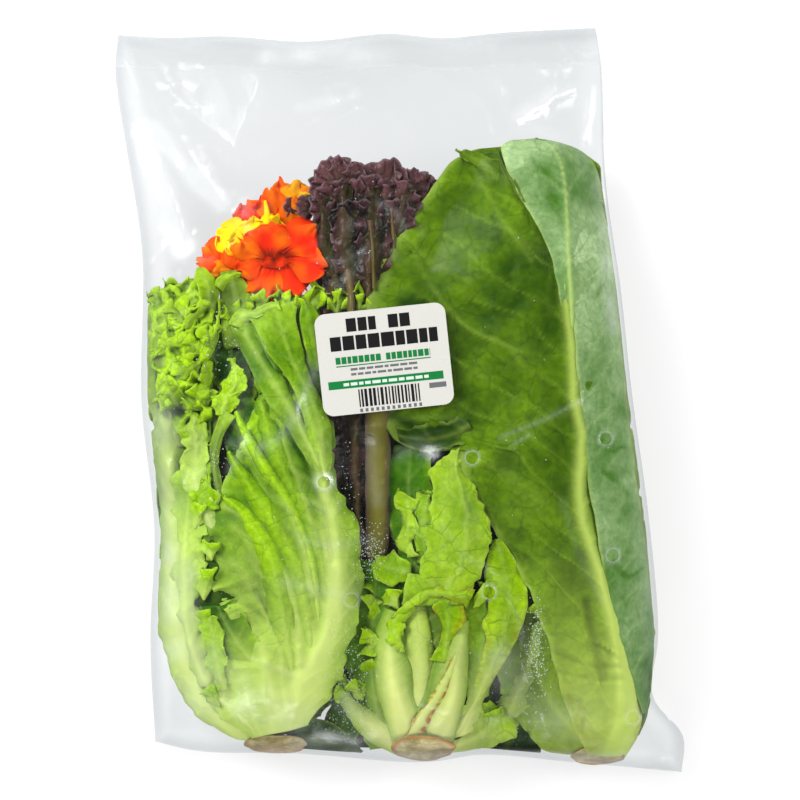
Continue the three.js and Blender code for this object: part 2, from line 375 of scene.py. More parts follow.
def frill(piece, base, tip, spread, depth, *, form, young=0.5, pale=0.0, pitch=1.1, seed=0):
    """A frilled leaf that opens like a fan from its base pixel to its tip pixel, spread degrees wide in all.

    Its rim is longer than the space it has, so it waves up and down and folds over on itself.
    """
    start, end = at([base, tip])
    length = np.linalg.norm(end - start)
    towards = math.atan2(end[1] - start[1], end[0] - start[0])
    half = math.radians(spread) / 2
    rows = max(int(length / pitch), 10)
    columns = max(int(2 * half * length * 1.5 / pitch), 14)
    r = np.linspace(0.06, 1, rows)[:, None]
    a = np.linspace(-half, half, columns)[None, :]
    arc = a * length  # mm along the rim
    local = noise(arc, 0 * r, 14, seed)
    tooth_depth, tooth_pitch = form["teeth"]
    bite = noise(arc, 0 * r, tooth_pitch, seed + 4) + 0.7 * noise(arc, 0 * r, tooth_pitch / 2, seed + 6)
    full = 1 - 0.22 * (a / half) ** 2 + form["lobes"] * local + tooth_depth / length * bite
    scallop_depth, scallop_pitch = form["scallop"]
    full = full + scallop_depth / length * np.sqrt(np.abs(np.sin(np.pi * arc / scallop_pitch + local)))
    rise, wave = form["ruffle"]
    phase = 2 * np.pi * arc / wave + 1.6 * noise(arc, r * length, wave, seed + 1) + 1.2 * r
    swell = ease(r, 0.3, 1.0) ** 1.6
    fine_rise, fine_wave = form["fine"]
    fine = fine_rise * ease(r, 0.72, 1.0) * np.sin(2 * np.pi * arc / fine_wave + 2 * local + 3 * r)
    up = rise * swell * np.sin(phase) + fine
    slide = form.get("fold", 0.7) * rise * swell * np.sin(2 * phase + 0.6) + 0.5 * fine
    inward = 0.35 * rise * swell * np.cos(phase)
    direction = towards - a
    radius = r * full * length - inward
    x = start[0] + radius * np.cos(direction) - slide * np.sin(direction)
    y = start[1] + radius * np.sin(direction) + slide * np.cos(direction)
    x, y = kept_in(x, y)
    ribs = form.get("ribs", 5)
    lane = a / half * ribs / 2 + 0.25 * noise(r * length, arc, 18, seed + 8)
    off = np.abs(lane - np.round(lane)) * (2 * half / ribs) * r * length
    vein = np.exp(-((off / form["rib"][1]) ** 2)) * (1 - ease(r, 0.5, 0.9))
    pucker = form["pucker"][0] * rough_noise(x, y, form["pucker"][1], seed + 9) * ease(r, 0.2, 0.6)
    cup = 2.0 * (a / half) ** 2
    lies = along(depth, rows)[:, None] + cup - up - form["rib"][0] * vein - pucker
    z = under_film(x, y, lies)
    paleness = along(pale, rows)[:, None] * (1 - ease(r, 0.2, 0.8)) + form["rib_pale"] * vein
    # Rims lighter, a paler margin and on the red leaf a painted sheen; raised waves lighter as painted
    # highlight
    fresh = along(young, rows)[:, None] + 0.35 * ease(r, 0.6, 1.0) + 0.08 * up
    fresh = fresh + 0.15 * noise(x, y, 15, seed + 2)
    piece.add_grid(np.dstack([x, y, z]), pale=np.clip(paleness, 0, 1), young=np.clip(fresh, 0, 1),
                   edge=ease(r, 0.93, 1.0))


def margin(piece, path, top, bottom, *, sway, wave, lean, young, fine=0.8, pitch=0.9, seed=0):
    """The curled edge of a leaf that stands up: it rises from bottom to top mm under the film and sways."""
    line = at(path)
    length = length_of(line)
    columns = max(int(length * 1.7 / pitch), 16)
    line = curve(line, columns)
    heading = heading_of(line)
    rows = max(int((bottom - top) * 1.2 / pitch), 9)
    r = np.linspace(0, 1, rows)[:, None]
    run = np.linspace(0, length, columns)[None, :] + 37.0 * seed
    phase = 2 * np.pi * run / wave + 1.8 * noise(run, 0 * r, wave * 1.4, seed)
    flare = 1.5 * ease(r, 0.72, 1.0) * (1 + 0.5 * noise(run, 0 * r, 6, seed + 2))
    swing = np.sin(phase) + 0.35 * np.sin(2.4 * phase + seed)
    sideways = lean * r**2 + (sway * r**1.3 + flare) * swing + 0.8 * flare
    sideways = sideways + fine * ease(r, 0.6, 1.0) * np.sin(5.3 * phase + 2 * np.sin(phase))
    forward = 0.5 * sway * r**2 * np.sin(2 * phase + 0.8)
    forward = forward + 0.5 * fine * ease(r, 0.7, 1.0) * noise(run, 9 * r, 2.5, seed)
    x = line[:, 0] - sideways * heading[:, 1] + forward * heading[:, 0]
    y = line[:, 1] + sideways * heading[:, 0] + forward * heading[:, 1]
    x, y = kept_in(x, y)
    ends = ease(np.linspace(0, 1, columns), 0, 0.12) * ease(np.linspace(1, 0, columns), 0, 0.12)
    rise = (1 - (1 - r) ** 1.9) * (0.35 + 0.65 * ends)
    nibbled = 0.7 * ease(r, 0.7, 1.0) * noise(run, 0 * r, 2.6, seed + 5)
    lies = bottom + (top - bottom) * rise + 1.2 * r * (1 - np.cos(phase)) + nibbled
    z = under_film(x, y, lies + 0.5 * noise(x, y, 7, seed))
    # Dark at its foot and light at its top: painted shade below, painted light above
    fresh = young[0] + (young[1] - young[0]) * r**1.2 + 0.12 * noise(x, y, 9, seed)
    piece.add_grid(np.dstack([x, y, z]), young=np.clip(fresh, 0, 1), edge=ease(r, 0.86, 1.0) + 0 * run)


def beside(path, halves):
    """Left and right edges, in pixels, of a strap along a path from its base; halves is half its width."""
    line = curve(pixels(path), 12)
    heading = heading_of(line)
    across = np.column_stack([heading[:, 1], -heading[:, 0]]) * along(halves, 12)[:, None]
    return line + across, line - across


def ruffles(piece, left, right, pockets, *, rim=1.0, pocket=6.0, seed=0, pitch=0.75):
    """Tightly curled leaf: lime rims that lie rim mm under the film, and pockets between them painted dark as
    shade.

    The pockets are pixels. The rims run midway between them and are uneven in height.
    """
    left, right = at(left), at(right)
    rows = int(length_of(left) / pitch)
    left, right = curve(left, rows), curve(right, rows)
    columns = int(np.linalg.norm(right - left, axis=1).max() / pitch)
    t = np.linspace(0, 1, columns)[None, :, None]
    flat = left[:, None] * (1 - t) + right[:, None] * t
    x, y = flat[..., 0], flat[..., 1]
    warp_x = x + 1.6 * noise(x, y, 6, seed) + 0.7 * noise(x, y, 2.4, seed + 1)
    warp_y = y + 1.6 * noise(x, y, 6, seed + 2) + 0.7 * noise(x, y, 2.4, seed + 3)
    pockets = at(pockets)
    away = np.stack([np.hypot(warp_x - px, warp_y - py) for px, py in pockets])
    order = np.sort(away, axis=0)
    which = np.argmin(away, axis=0)
    to_rim = (order[1] - order[0]) / 2
    deep = pocket * (0.7 + 0.6 * np.random.default_rng(seed).uniform(0, 1, len(pockets))[which])
    wall = ease(to_rim, 0.6, 3.4)
    lies = rim + 1.3 * np.abs(noise(x, y, 7, seed + 4)) + (deep - rim) * wall
    lies = lies - 0.5 * noise(x, y, 2.2, seed + 5) * (1 - wall)
    edge = np.minimum(t[..., 0], 1 - t[..., 0]) * columns * pitch
    lies = lies + 5 * ease(-edge, -2.5, 0)
    x, y = kept_in(x + 0.6 * noise(x, y, 2.0, seed + 6), y + 0.6 * noise(x, y, 2.0, seed + 7))
    # Painted shade: the deeper in a pocket, the darker the green
    young = 0.16 + 0.72 * (1 - wall) + 0.25 * noise(x, y, 8, seed + 8) * (1 - 0.6 * wall)
    z = under_film(x, y, lies)
    piece.add_grid(np.dstack([x, y, z]), young=np.clip(young, 0, 1), edge=ease(-to_rim, -0.5, 0))


def body(piece, left, right, deep, *, young=0.1, back=2.5, pitch=2.2, seed=0):
    """The closed inside of a head, which leaves lie on: deep mm under the film in front, near it behind."""
    left, right = at(left), at(right)
    rows = max(int(length_of(left) / pitch), 10)
    left, right = curve(left, rows), curve(right, rows)
    s, t = shares(rows, max(int(np.linalg.norm(right - left, axis=1).max() / pitch), 10))
    points = left[:, None, :] * (1 - t)[..., None] + right[:, None, :] * t[..., None]
    x, y = points[..., 0], points[..., 1]
    shut = np.maximum(np.abs(2 * t - 1) ** 4, np.abs(2 * s - 1) ** 10)
    folds = 1.5 * noise(x, y / 3, 12, seed)
    upper = under_film(x, y, deep + folds)
    lower = over_back(x, y, back + 0.6 * folds)
    upper = np.maximum(upper, lower + 0.4)
    middle = (upper + lower) / 2
    # Kept dark: painted shade for the gaps where the core shows between leaves
    young = np.clip(young + 0.2 * noise(x, y, 20, seed), 0, 1)
    for surface, flip in ((upper, 1), (lower, -1)):
        z = surface * (1 - shut) + middle * shut
        piece.add_grid(np.dstack([x, y, z])[:, ::flip], young=young,
                       pale=0.25 * ease(s, 0.25, 0.0) + 0 * t)


# Relief of each kind of leaf: midrib (rise, half width at its base and tip), side veins (pitch, lean, rise,
# half width), teeth (depth, pitch), ruffle (rise, wave length), pucker (rise, size)
ROMAINE = dict(rib=(1.7, 5.0, 1.4), veins=(21, 0.95, 0.45, 0.55), teeth=(0.7, 11), ruffle=(1.0, 46),
               pucker=(0.9, 12), uneven=0.10, quilt=0.5, rib_pale=1.0, vein_pale=0.16)
UNDERSIDE = dict(ROMAINE, rib=(0.0, 3, 3), veins=(15, 0.9, 0.45, 0.5), teeth=(0.4, 12), rib_pale=0.0,
                 pucker=(0.8, 9), ruffle=(0.5, 40), quilt=0.25, uneven=0.2)
BATAVIA = dict(rib=(1.4, 7.0, 3.0), veins=(15, 1.6, 0.5, 1.0), teeth=(1.4, 8), ruffle=(1.5, 24),
               pucker=(0.7, 13), quilt=0.25, rib_pale=0.5, vein_pale=0.25)
CREST = dict(rib=(0.5, 1.6, 0.8), veins=(15, 1.0, 0.25, 0.8), teeth=(1.6, 7), ruffle=(1.3, 17),
             pucker=(0.55, 11), quilt=0.25, rib_pale=0.2, vein_pale=0.15, tip_ruffle=1.0)
STALK = dict(rib=(0.8, 9.0, 6.0), veins=(7, 6.0, 0.2, 0.7), teeth=(0.3, 14), ruffle=(0.3, 40),
             pucker=(0.6, 10), pale_fade=0.7, rib_pale=0.35, vein_pale=0.15)
FRILL = dict(rib=(0.8, 1.3), teeth=(1.5, 4.2), scallop=(0.0, 4.0), ruffle=(3.0, 14), fine=(0.8, 4.5),
             pucker=(0.7, 8), lobes=0.12, rib_pale=0.3, ribs=5)
RED_FOLD = dict(rib=(0.6, 1.2, 0.8), veins=(9, 2.0, 0.5, 0.9), teeth=(1.2, 6), ruffle=(2.2, 13),
                ruffle_power=1.5, pucker=(1.6, 8), quilt=0.6, rib_pale=0.3, vein_pale=0.1, tip_ruffle=1.0)
LEAFLET = dict(rib=(0.5, 0.9), teeth=(1.2, 3.4), scallop=(0.8, 4.0), ruffle=(2.2, 9), fine=(0.6, 3.6),
               pucker=(0.8, 6), lobes=0.10, rib_pale=0.15, ribs=3)
CURL = dict(LEAFLET, teeth=(0.9, 3.0), ruffle=(2.4, 11), fine=(0.9, 4.2), fold=0.9, ribs=4)
RED_LEAFLET = dict(rib=(0.6, 0.8), teeth=(0.15, 3.4), scallop=(1.9, 4.6), ruffle=(1.5, 10), fine=(0.8, 4.6),
                   pucker=(1.0, 6), lobes=0.14, rib_pale=0.15, ribs=4, fold=0.35)
SMOOTH = dict(CREST, teeth=(0.3, 9), ruffle=(0.5, 26), tip_ruffle=0.6, pucker=(0.4, 13), quilt=0.1)
STRAP = dict(rib=(0.5, 1.2, 0.8), veins=(26, 2.2, 0.2, 0.5), teeth=(0.4, 12), ruffle=(0.3, 30),
             pucker=(0.35, 12), rib_pale=0.1, vein_pale=0.1, tip_ruffle=0.3, uneven=0.12)
JAG = dict(CREST, teeth=(3.2, 9), ruffle=(1.6, 14), tip_ruffle=1.2)


def head_bodies():
    piece = Piece()
    body(piece, "590,752 560,720 545,650 520,580 490,520 446,450 405,420 392,360 396,300 "
                "424,250 460,205 505,180", "622,750 638,720 646,650 642,560 628,460 616,380 606,320 598,280 "
                                           "592,245 586,215 572,195 550,178", 8, seed=1)
    body(piece, "252,740 205,710 178,650 168,580 164,500 160,420 158,350 170,305",
         "300,732 335,690 352,640 355,570 350,500 345,430 335,360 320,315", 9, seed=2)
    body(piece, "400,752 368,720 356,670 352,600 350,530 352,460 350,380 340,300 320,235",
         "445,755 490,725 512,670 520,600 500,530 470,460 430,400 405,300 405,215", 12, young=0.0, seed=3)
    return piece


def back_leaf(left, right, form, young, seed):
    """An outer leaf that wraps a head where the bag lies on it."""
    piece = Piece()
    blade(piece, left, right, [3, 1.2, 0.8, 0.8, 1.2, 2.5], form=form, young=young,
          pale=[0.9, 0.4, 0.1, 0, 0, 0], drop=(2.5, 2.5), pitch=1.6, face="back", seed=seed)
    return piece


def filler_leaves():
    """Plain inner leaves that close the gaps between the heads, dark as painted shade in those gaps."""
    piece = Piece()
    for k, (left, right, depth, young) in enumerate([
        ("352,748 340,710 334,660 340,600", "400,748 386,710 378,660 372,600", 15, 0.1),
        ("320,742 326,716 338,690 348,660", "350,752 364,724 370,690 372,660", 10, 0.5),
        ("256,753 290,756 320,757 342,757 361,755", "292,732 310,718 332,722 350,736 363,752", 9, 0.5),
        ("470,752 486,720 500,690 510,650", "540,756 546,720 548,690 548,650", 15, 0.3),
        ("196,700 190,640 190,580 196,500", "256,700 252,640 246,580 240,500", 8, 0.8),
        ("600,752 610,720 622,690 630,650", "640,735 647,715 652,690 656,650", 10, 0.5),
    ]):
        blade(piece, left, right, [depth, depth - 3, depth - 3, depth], form=SMOOTH, young=young, drop=(2, 2),
              pitch=1.8, seed=400 + k)
    return piece


def romaine_leaves():
    piece = Piece()
    # Leaves behind, seen at the right side and under the base
    blade(piece, "604,700 596,620 588,560 580,480 578,420 580,370 590,300",
          "645,700 657,640 654,570 643,500 633,420 624,350 613,290", [12, 7, 5, 5, 5, 6, 9], form=CREST,
          rib=0.5, young=[0.25, 0.35, 0.35], pale=[0.2, 0.15, 0.15], drop=(3, 3), seed=2,
          lines=[("640,690 650,640 652,600", -1.2, 2.0, 0), ("650,690 655,650 655,610", 1.2, 1.6, 0.4)])
    blade(piece, "592,762 558,756 534,740 515,722 500,690 492,640 500,590",
          "612,745 600,728 586,708 574,690 562,660 552,620 545,570", [8, 8, 8, 8, 9, 10, 12], form=CREST,
          rib=0.6, young=[0.6, 0.6, 0.35, 0.1, 0.1], pale=[0.7, 0.4, 0.25, 0.15, 0.1],
          brown=[0.8, 0.1, 0, 0, 0], seed=3)
    blade(piece, "505,215 480,180 466,164 452,152", "525,200 505,165 480,154 455,150", [10, 6, 4, 4],
          form=CREST, young=0.35, edge_tone_and_shade=0.1, seed=4)
    # The great leaf, seen from its back, with its midrib near its right edge
    blade(piece, "590,757 574,730 562,700 551,660 541,620 520,572 489,522 462,470 455,448 424,452 398,440 "
                 "378,412 368,350 369,300 376,280 395,240 425,198 452,166 480,150",
          "626,756 640,725 641,690 631,650 617,600 606,545 600,500 604,455 614,420 622,380 622,330 618,290 "
          "613,250 608,215 604,185 596,163 575,150 545,143", [5, 3.5, 2.2, 1.6, 1.5, 1.5, 2.2, 3.3, 4.2, 5.0],
          form=ROMAINE, rib=[0.72, 0.80, 0.84, 0.87, 0.86, 0.82, 0.83, 0.84, 0.79, 0.79, 0.78, 0.78, 0.77,
          0.75, 0.74], young=[0.6, 0.55, 0.50, 0.44, 0.38, 0.40, 0.44, 0.46],
          pale=[1.0, 0.65, 0.2, 0.02, 0, 0, 0, 0, 0, 0], edge_tone_and_shade=0.12, drop=(1.4, 5),
          brown=[0.3, 0, 0, 0, 0, 0, 0], seed=5, lines=[("584,600 590,628 595,646 602,674", -1.8, 2.2, 0),
          ("550,649 584,662 626,666", -0.9, 0.9, 0), ("554,669 587,676 626,678", -0.8, 0.8, 0.0),
          ("595,642 614,656", -0.9, 0.9, 0), ("578,700 584,716 582,732", -0.9, 1.6, 0),
          ("600,690 606,715 604,740", -0.7, 2.0, 0), ("452,448 430,436 408,424 386,412", -1.0, 2.4, 0),
          ("470,455 500,470 540,500", 0.5, 3.0, 0.05), ("398,236 405,248 413,256", -1.0, 0.5, 0),
          ("402,236 430,262 470,284", 0.4, 1.2, 0.08), ("413,256 440,300 470,330 520,352", 0.4, 1.0, 0.10),
          ("470,160 484,190 500,220 530,262", 0.4, 1.0, 0.1), ("520,257 521,258", -0.3, 1.0, 0)])
    # A dark strip painted as the shadow beside the folded top, and the lobe that curls up under the label
    left, right = beside("530,212 515,190 503,168 496,149", [1.2, 2.6, 2.6, 1.6])
    blade(piece, left, right, [1.6, 1.2, 1.2, 2.0], form=SMOOTH, young=0.0, edge_tone_and_shade=-0.3, drop=(0.6, 0.6),
          pitch=0.9, seed=8)
    blade(piece, "472,430 452,446 428,452 404,444", "466,420 446,424 424,426 400,428", [1.8, 1.4, 1.4, 2.2],
          form=CREST, young=[0.15, 0.05, 0.15], edge_tone_and_shade=0.1, drop=(0.5, 0.5), seed=7)
    return piece


def romaine_underside():
    """The paler faces of the great leaf: right of its midrib, and the top that is folded to the front."""
    piece = Piece()
    blade(piece, "643,712 632,680 619,640 607,600 597,545 588,495 583,450 579,410 575,370 572,330 570,290 "
                 "570,255 570,225 572,200", "645,712 652,680 655,640 652,600 645,545 638,495 631,450 627,410 "
                                            "624,370 621,330 617,290 612,255 609,225 604,200",
          [4.4, 2.4, 1.4, 0.9, 0.7, 0.7, 0.7, 0.7, 0.9, 1.4], form=UNDERSIDE, rib=0.05,
          young=[0.25, 0.3, 0.35, 0.42, 0.5, 0.65, 0.85, 1.0, 1.0], drop=(0.2, 1.8), edge_tone_and_shade=-0.1, seed=36,
          lines=[("602,244 605,262 602,282 594,298", -1.2, 0.8, 0), ("600,470 618,484 630,500", -0.8, 1.2, 0),
                 ("590,500 610,505 632,498", 0.8, 1.4, 0.0), ("586,380 600,372 612,350", 0.6, 1.0, 0.0),
                 ("610,560 626,575 642,566", -0.8, 1.0, 0), ("596,430 606,450 622,446", -0.7, 0.8, 0)])
    blade(piece, "562,345 560,315 555,282 546,252 532,222 517,195 504,168 500,150 508,141",
          "606,320 606,295 606,268 605,240 604,205 599,174 588,156 566,145 536,139",
          [2.6, 0.8, 0.3, 0.2, 0.2, 0.3, 0.5, 1.4], form=dict(UNDERSIDE, rib=(0.9, 1.7, 0.25), rib_pale=0.8),
          rib=[0.16, 0.2, 0.24, 0.33, 0.46, 0.58, 0.76, 0.96], young=[0.3, 0.35, 0.45, 0.5, 0.5, 0.55],
          drop=(0.4, 3.2), edge_tone_and_shade=0.15, seed=6, lines=[("520,178 540,196 556,226", 0.5, 1.4, 0.0),
          ("530,160 545,175 562,190", -0.6, 1.4, 0)])
    return piece


def batavia_leaves():
    piece = Piece()
    # Outer leaves down the left side
    blade(piece, "232,738 190,705 166,655 158,600 160,540 155,470 150,400 148,340",
          "262,742 225,700 205,650 196,590 192,530 188,460 185,400 180,350", [9, 7, 6, 6, 6, 7, 8, 9],
          form=BATAVIA, rib=0.45, young=[0.4, 0.3, 0.3], pale=[0.7, 0.55, 0.4, 0.25, 0.15], drop=(4, 2),
          seed=12)
    blade(piece, "256,738 230,715 205,690 190,660 180,620 177,580 178,535 180,500 182,456 186,430",
          "268,731 250,705 224,680 210,650 204,615 204,577 206,540 212,505 216,470 222,440",
          [6, 4, 3, 2.2, 2, 2, 2.2, 2.5, 3, 5], form=JAG, rib=[0.4, 0.35, 0.3, 0.3, 0.35, 0.45],
          young=[0.7, 0.65, 0.6, 0.6, 0.55, 0.6], pale=[0.95, 0.85, 0.7, 0.6, 0.5, 0.15, 0.05], drop=(3, 2),
          seed=13)
    # Ragged inner leaves, with a dark gap beside them
    for k, (base, tip, spread, depth) in enumerate([
        ((222, 706), (206, 684), 60, 1.4), ((196, 530), (203, 500), 70, 1.4),
        ((206, 600), (206, 566), 60, 1.2),
        ((214, 560), (210, 536), 60, 1.2), ((212, 640), (204, 606), 60, 1.2),
    ]):
        frill(piece, base, tip, spread, [depth + 2, depth], form=FRILL, young=0.75, pale=0.2, pitch=0.8,
              seed=300 + k)
    blade(piece, "196,506 191,490 200,478", "216,510 219,492 216,480", [2.5, 1.2, 2], form=JAG, young=0.75,
          drop=(0.6, 0.8), seed=19)
    # The broad front leaf: folds fan out of its base
    blade(piece, "250,737 230,722 212,702 206,686 216,672 230,658 238,640 232,616 222,597 207,574 209,548 "
                 "205,522 219,498 232,470 244,440 250,405 254,378", "306,726 333,692 351,645 362,595 361,550 "
          "354,512 338,484 332,455 322,425 310,395 296,372 288,358",
          [4, 2.4, 1.6, 1.5, 1.6, 1.8, 2.2, 3, 4.4, 6], form=BATAVIA,
          rib=[0.6, 0.72, 0.80, 0.85, 0.87, 0.9, 0.92, 0.95], young=[0.8, 0.8, 0.66, 0.45, 0.3, 0.25, 0.3],
          pale=[0.95, 0.85, 0.62, 0.42, 0.22, 0.05, 0, 0, 0], drop=(3, 2), seed=15,
          lines=[("290,430 307,457 320,493 328,518 334,560", -2.6, 1.8, 0),
                 ("274,425 286,472 299,510 312,544 320,585", -2.8, 2.0, 0),
                 ("248,470 262,500 276,530 296,570 306,610", -2.4, 1.8, 0),
                 ("232,500 252,520 270,550 288,590 300,640", -2.2, 1.6, 0),
                 ("214,540 228,560 250,580 272,610", -1.6, 1.6, 0),
                 ("222,590 240,598 262,612 285,640", -1.2, 1.2, 0),
                 ("240,430 257,459 278,485 295,514 307,548 316,590", 2.0, 2.2, 0.28),
                 ("284,440 296,470 308,505 318,540", 1.6, 2.0, 0.18),
                 ("226,505 246,515 262,535 280,570 296,610 302,660", 1.6, 2.0, 0.22),
                 ("304,436 316,470 324,500", 1.6, 1.8, 0.15),
                 ("326,488 330,535 334,590 328,650 312,710", 1.6, 3.4, 0.34),
                 ("350,520 346,556 352,574 358,584", -0.8, 0.6, 0),
                 ("225,560 240,566 254,582", 1.6, 2.6, 0.1), ("236,526 250,540 262,560", 1.2, 2.2, 0.1),
                 ("262,640 272,680 282,720", 0.9, 2.4, 0.2), ("290,650 294,690 294,725", -0.8, 1.6, 0),
                 ("252,655 275,664 296,672", 0.5, 1.0, 0.2), ("250,690 268,700 284,702", -0.5, 1.0, 0)])
    # A green fold with a dark gap above it, and the ragged bright leaf in front
    blade(piece, "250,676 228,656 210,632 202,606", "276,662 262,640 250,618 236,598", [4, 2.6, 2.6, 3.4],
          form=dict(CREST, teeth=(0.6, 6)), young=[0.8, 0.6, 0.4, 0.15], pale=[0.6, 0.3, 0.1, 0],
          edge_tone_and_shade=0.2, drop=(0.6, 0.6), seed=20)
    blade(piece, "222,690 212,675 206,660 204,645 203,630 202,618",
          "232,686 230,668 230,650 225,638 227,626 220,615", [2.2, 0.8, 0.6, 0.6, 0.8, 1.6],
          form=dict(JAG, teeth=(1.8, 5)), young=[0.8, 0.85, 0.9], pale=[0.5, 0.3, 0.15], edge_tone_and_shade=0.2,
          drop=(0.6, 0.6), pitch=0.9, seed=33)
    # Rounded folds that sweep up from its rib, their edges darkened as painted shade between them
    for k, (path, halves, young, depth) in enumerate([
        ("296,690 286,620 274,560 262,535 249,518 236,503 222,494", [2, 8, 13, 15, 15, 15, 14, 11, 2], 0.95,
         1.1),
        ("316,690 308,610 297,560 283,532 268,510 254,490 240,468 230,450", [2, 7, 12, 14, 14, 13, 12, 9, 2],
         0.85, 1.1),
        ("334,670 328,600 322,556 313,522 302,500 290,480 280,458 270,430 262,400",
         [2, 10, 13, 13, 12, 8], 0.75, 1.5),
        ("322,660 318,600 312,556 303,530 293,509 281,486 266,467 256,450 247,433 237,411",
         [1, 4, 6, 7, 7, 6, 4], 1.1, 0.6),
    ]):
        left, right = beside(path, halves)
        blade(piece, left, right, [depth + 4, depth + 0.6, depth, depth, depth + 0.4, depth + 3.5],
              form=STRAP, young=young, pale=[0.9, 0.55, 0.25, 0.05, 0, 0], edge_tone_and_shade=-0.55, drop=(2.4, 2.4),
              pitch=1.1, seed=340 + k)
    # Folded tops
    blade(piece, "320,478 300,445 268,400 248,362 233,330 233,316",
          "328,474 318,440 300,400 280,366 262,338 252,310", [2.2, 2.0, 1.6, 1.4, 1.4, 2.6], form=SMOOTH,
          young=[0.45, 0.35, 0.35, 0.75], pale=[0.3, 0.1, 0, 0.1], drop=(1.6, 4), edge_tone_and_shade=-0.1, seed=16,
          lines=[("326,470 300,420 272,376 246,336", 1.2, 2.2, 0.12)])
    blade(piece, "322,482 308,440 296,390 290,350 292,315 296,296",
          "334,478 336,440 332,400 328,350 322,312 316,296", [3.5, 4, 4.5, 5, 5, 7], form=SMOOTH,
          young=[0.4, 0.2, 0.1, 0.25], pale=[0.2, 0.05, 0], drop=(3, 3), edge_tone_and_shade=0, seed=17)
    # A dark strip painted as the shade in the valley beside the folded tops
    blade(piece, "300,436 286,408 270,380 258,352 246,326", "312,430 300,400 288,374 274,350 262,326",
          [2.4, 3.6, 4.2, 3.6, 3], form=SMOOTH, young=[0.2, 0.0, 0.0, 0.1], edge_tone_and_shade=0, drop=(0.5, 0.5),
          seed=11)
    blade(piece, "322,482 312,446 304,416 297,394 284,372 272,358 263,344 255,326 244,314",
          "333,478 333,440 330,420 322,398 313,380 307,365 303,345 298,322 300,301",
          [2, 1.2, 0.8, 0.6, 0.6, 0.8, 1.4], form=SMOOTH, rib=[0.5, 0.55, 0.6, 0.6],
          young=[0.65, 0.5, 0.4, 0.42, 0.7], pale=[0.35, 0.15, 0, 0, 0.1], edge_tone_and_shade=0.1, drop=(1.0, 2.2),
          seed=18, lines=[("326,474 318,440 308,410 294,386", 0.9, 1.4, 0.12),
                          ("271,308 278,328 295,340", -0.6, 0.4, 0),
                          ("264,330 277,349 292,366 295,380", -0.6, 0.4, 0),
                          ("292,368 306,352", -0.5, 0.4, 0)])
    # Its rolled top, and the smooth leaf beside it
    blade(piece, "230,324 236,314 244,310 256,309 268,304 280,300",
          "244,330 250,322 256,319 264,318 274,312 284,308", [1.2, 0.5, 0.4, 0.5, 0.6, 1.0],
          form=dict(CREST, teeth=(0.8, 3.5)), young=0.8, pale=0.2, drop=(0.8, 0.8), pitch=0.9, seed=9)
    blade(piece, "312,372 305,345 300,322 303,302", "330,372 326,345 322,322 310,300", [4, 3.5, 3, 3],
          form=SMOOTH, young=[0.2, 0.3, 0.4], drop=(0.5, 0.5), seed=10)
    return piece


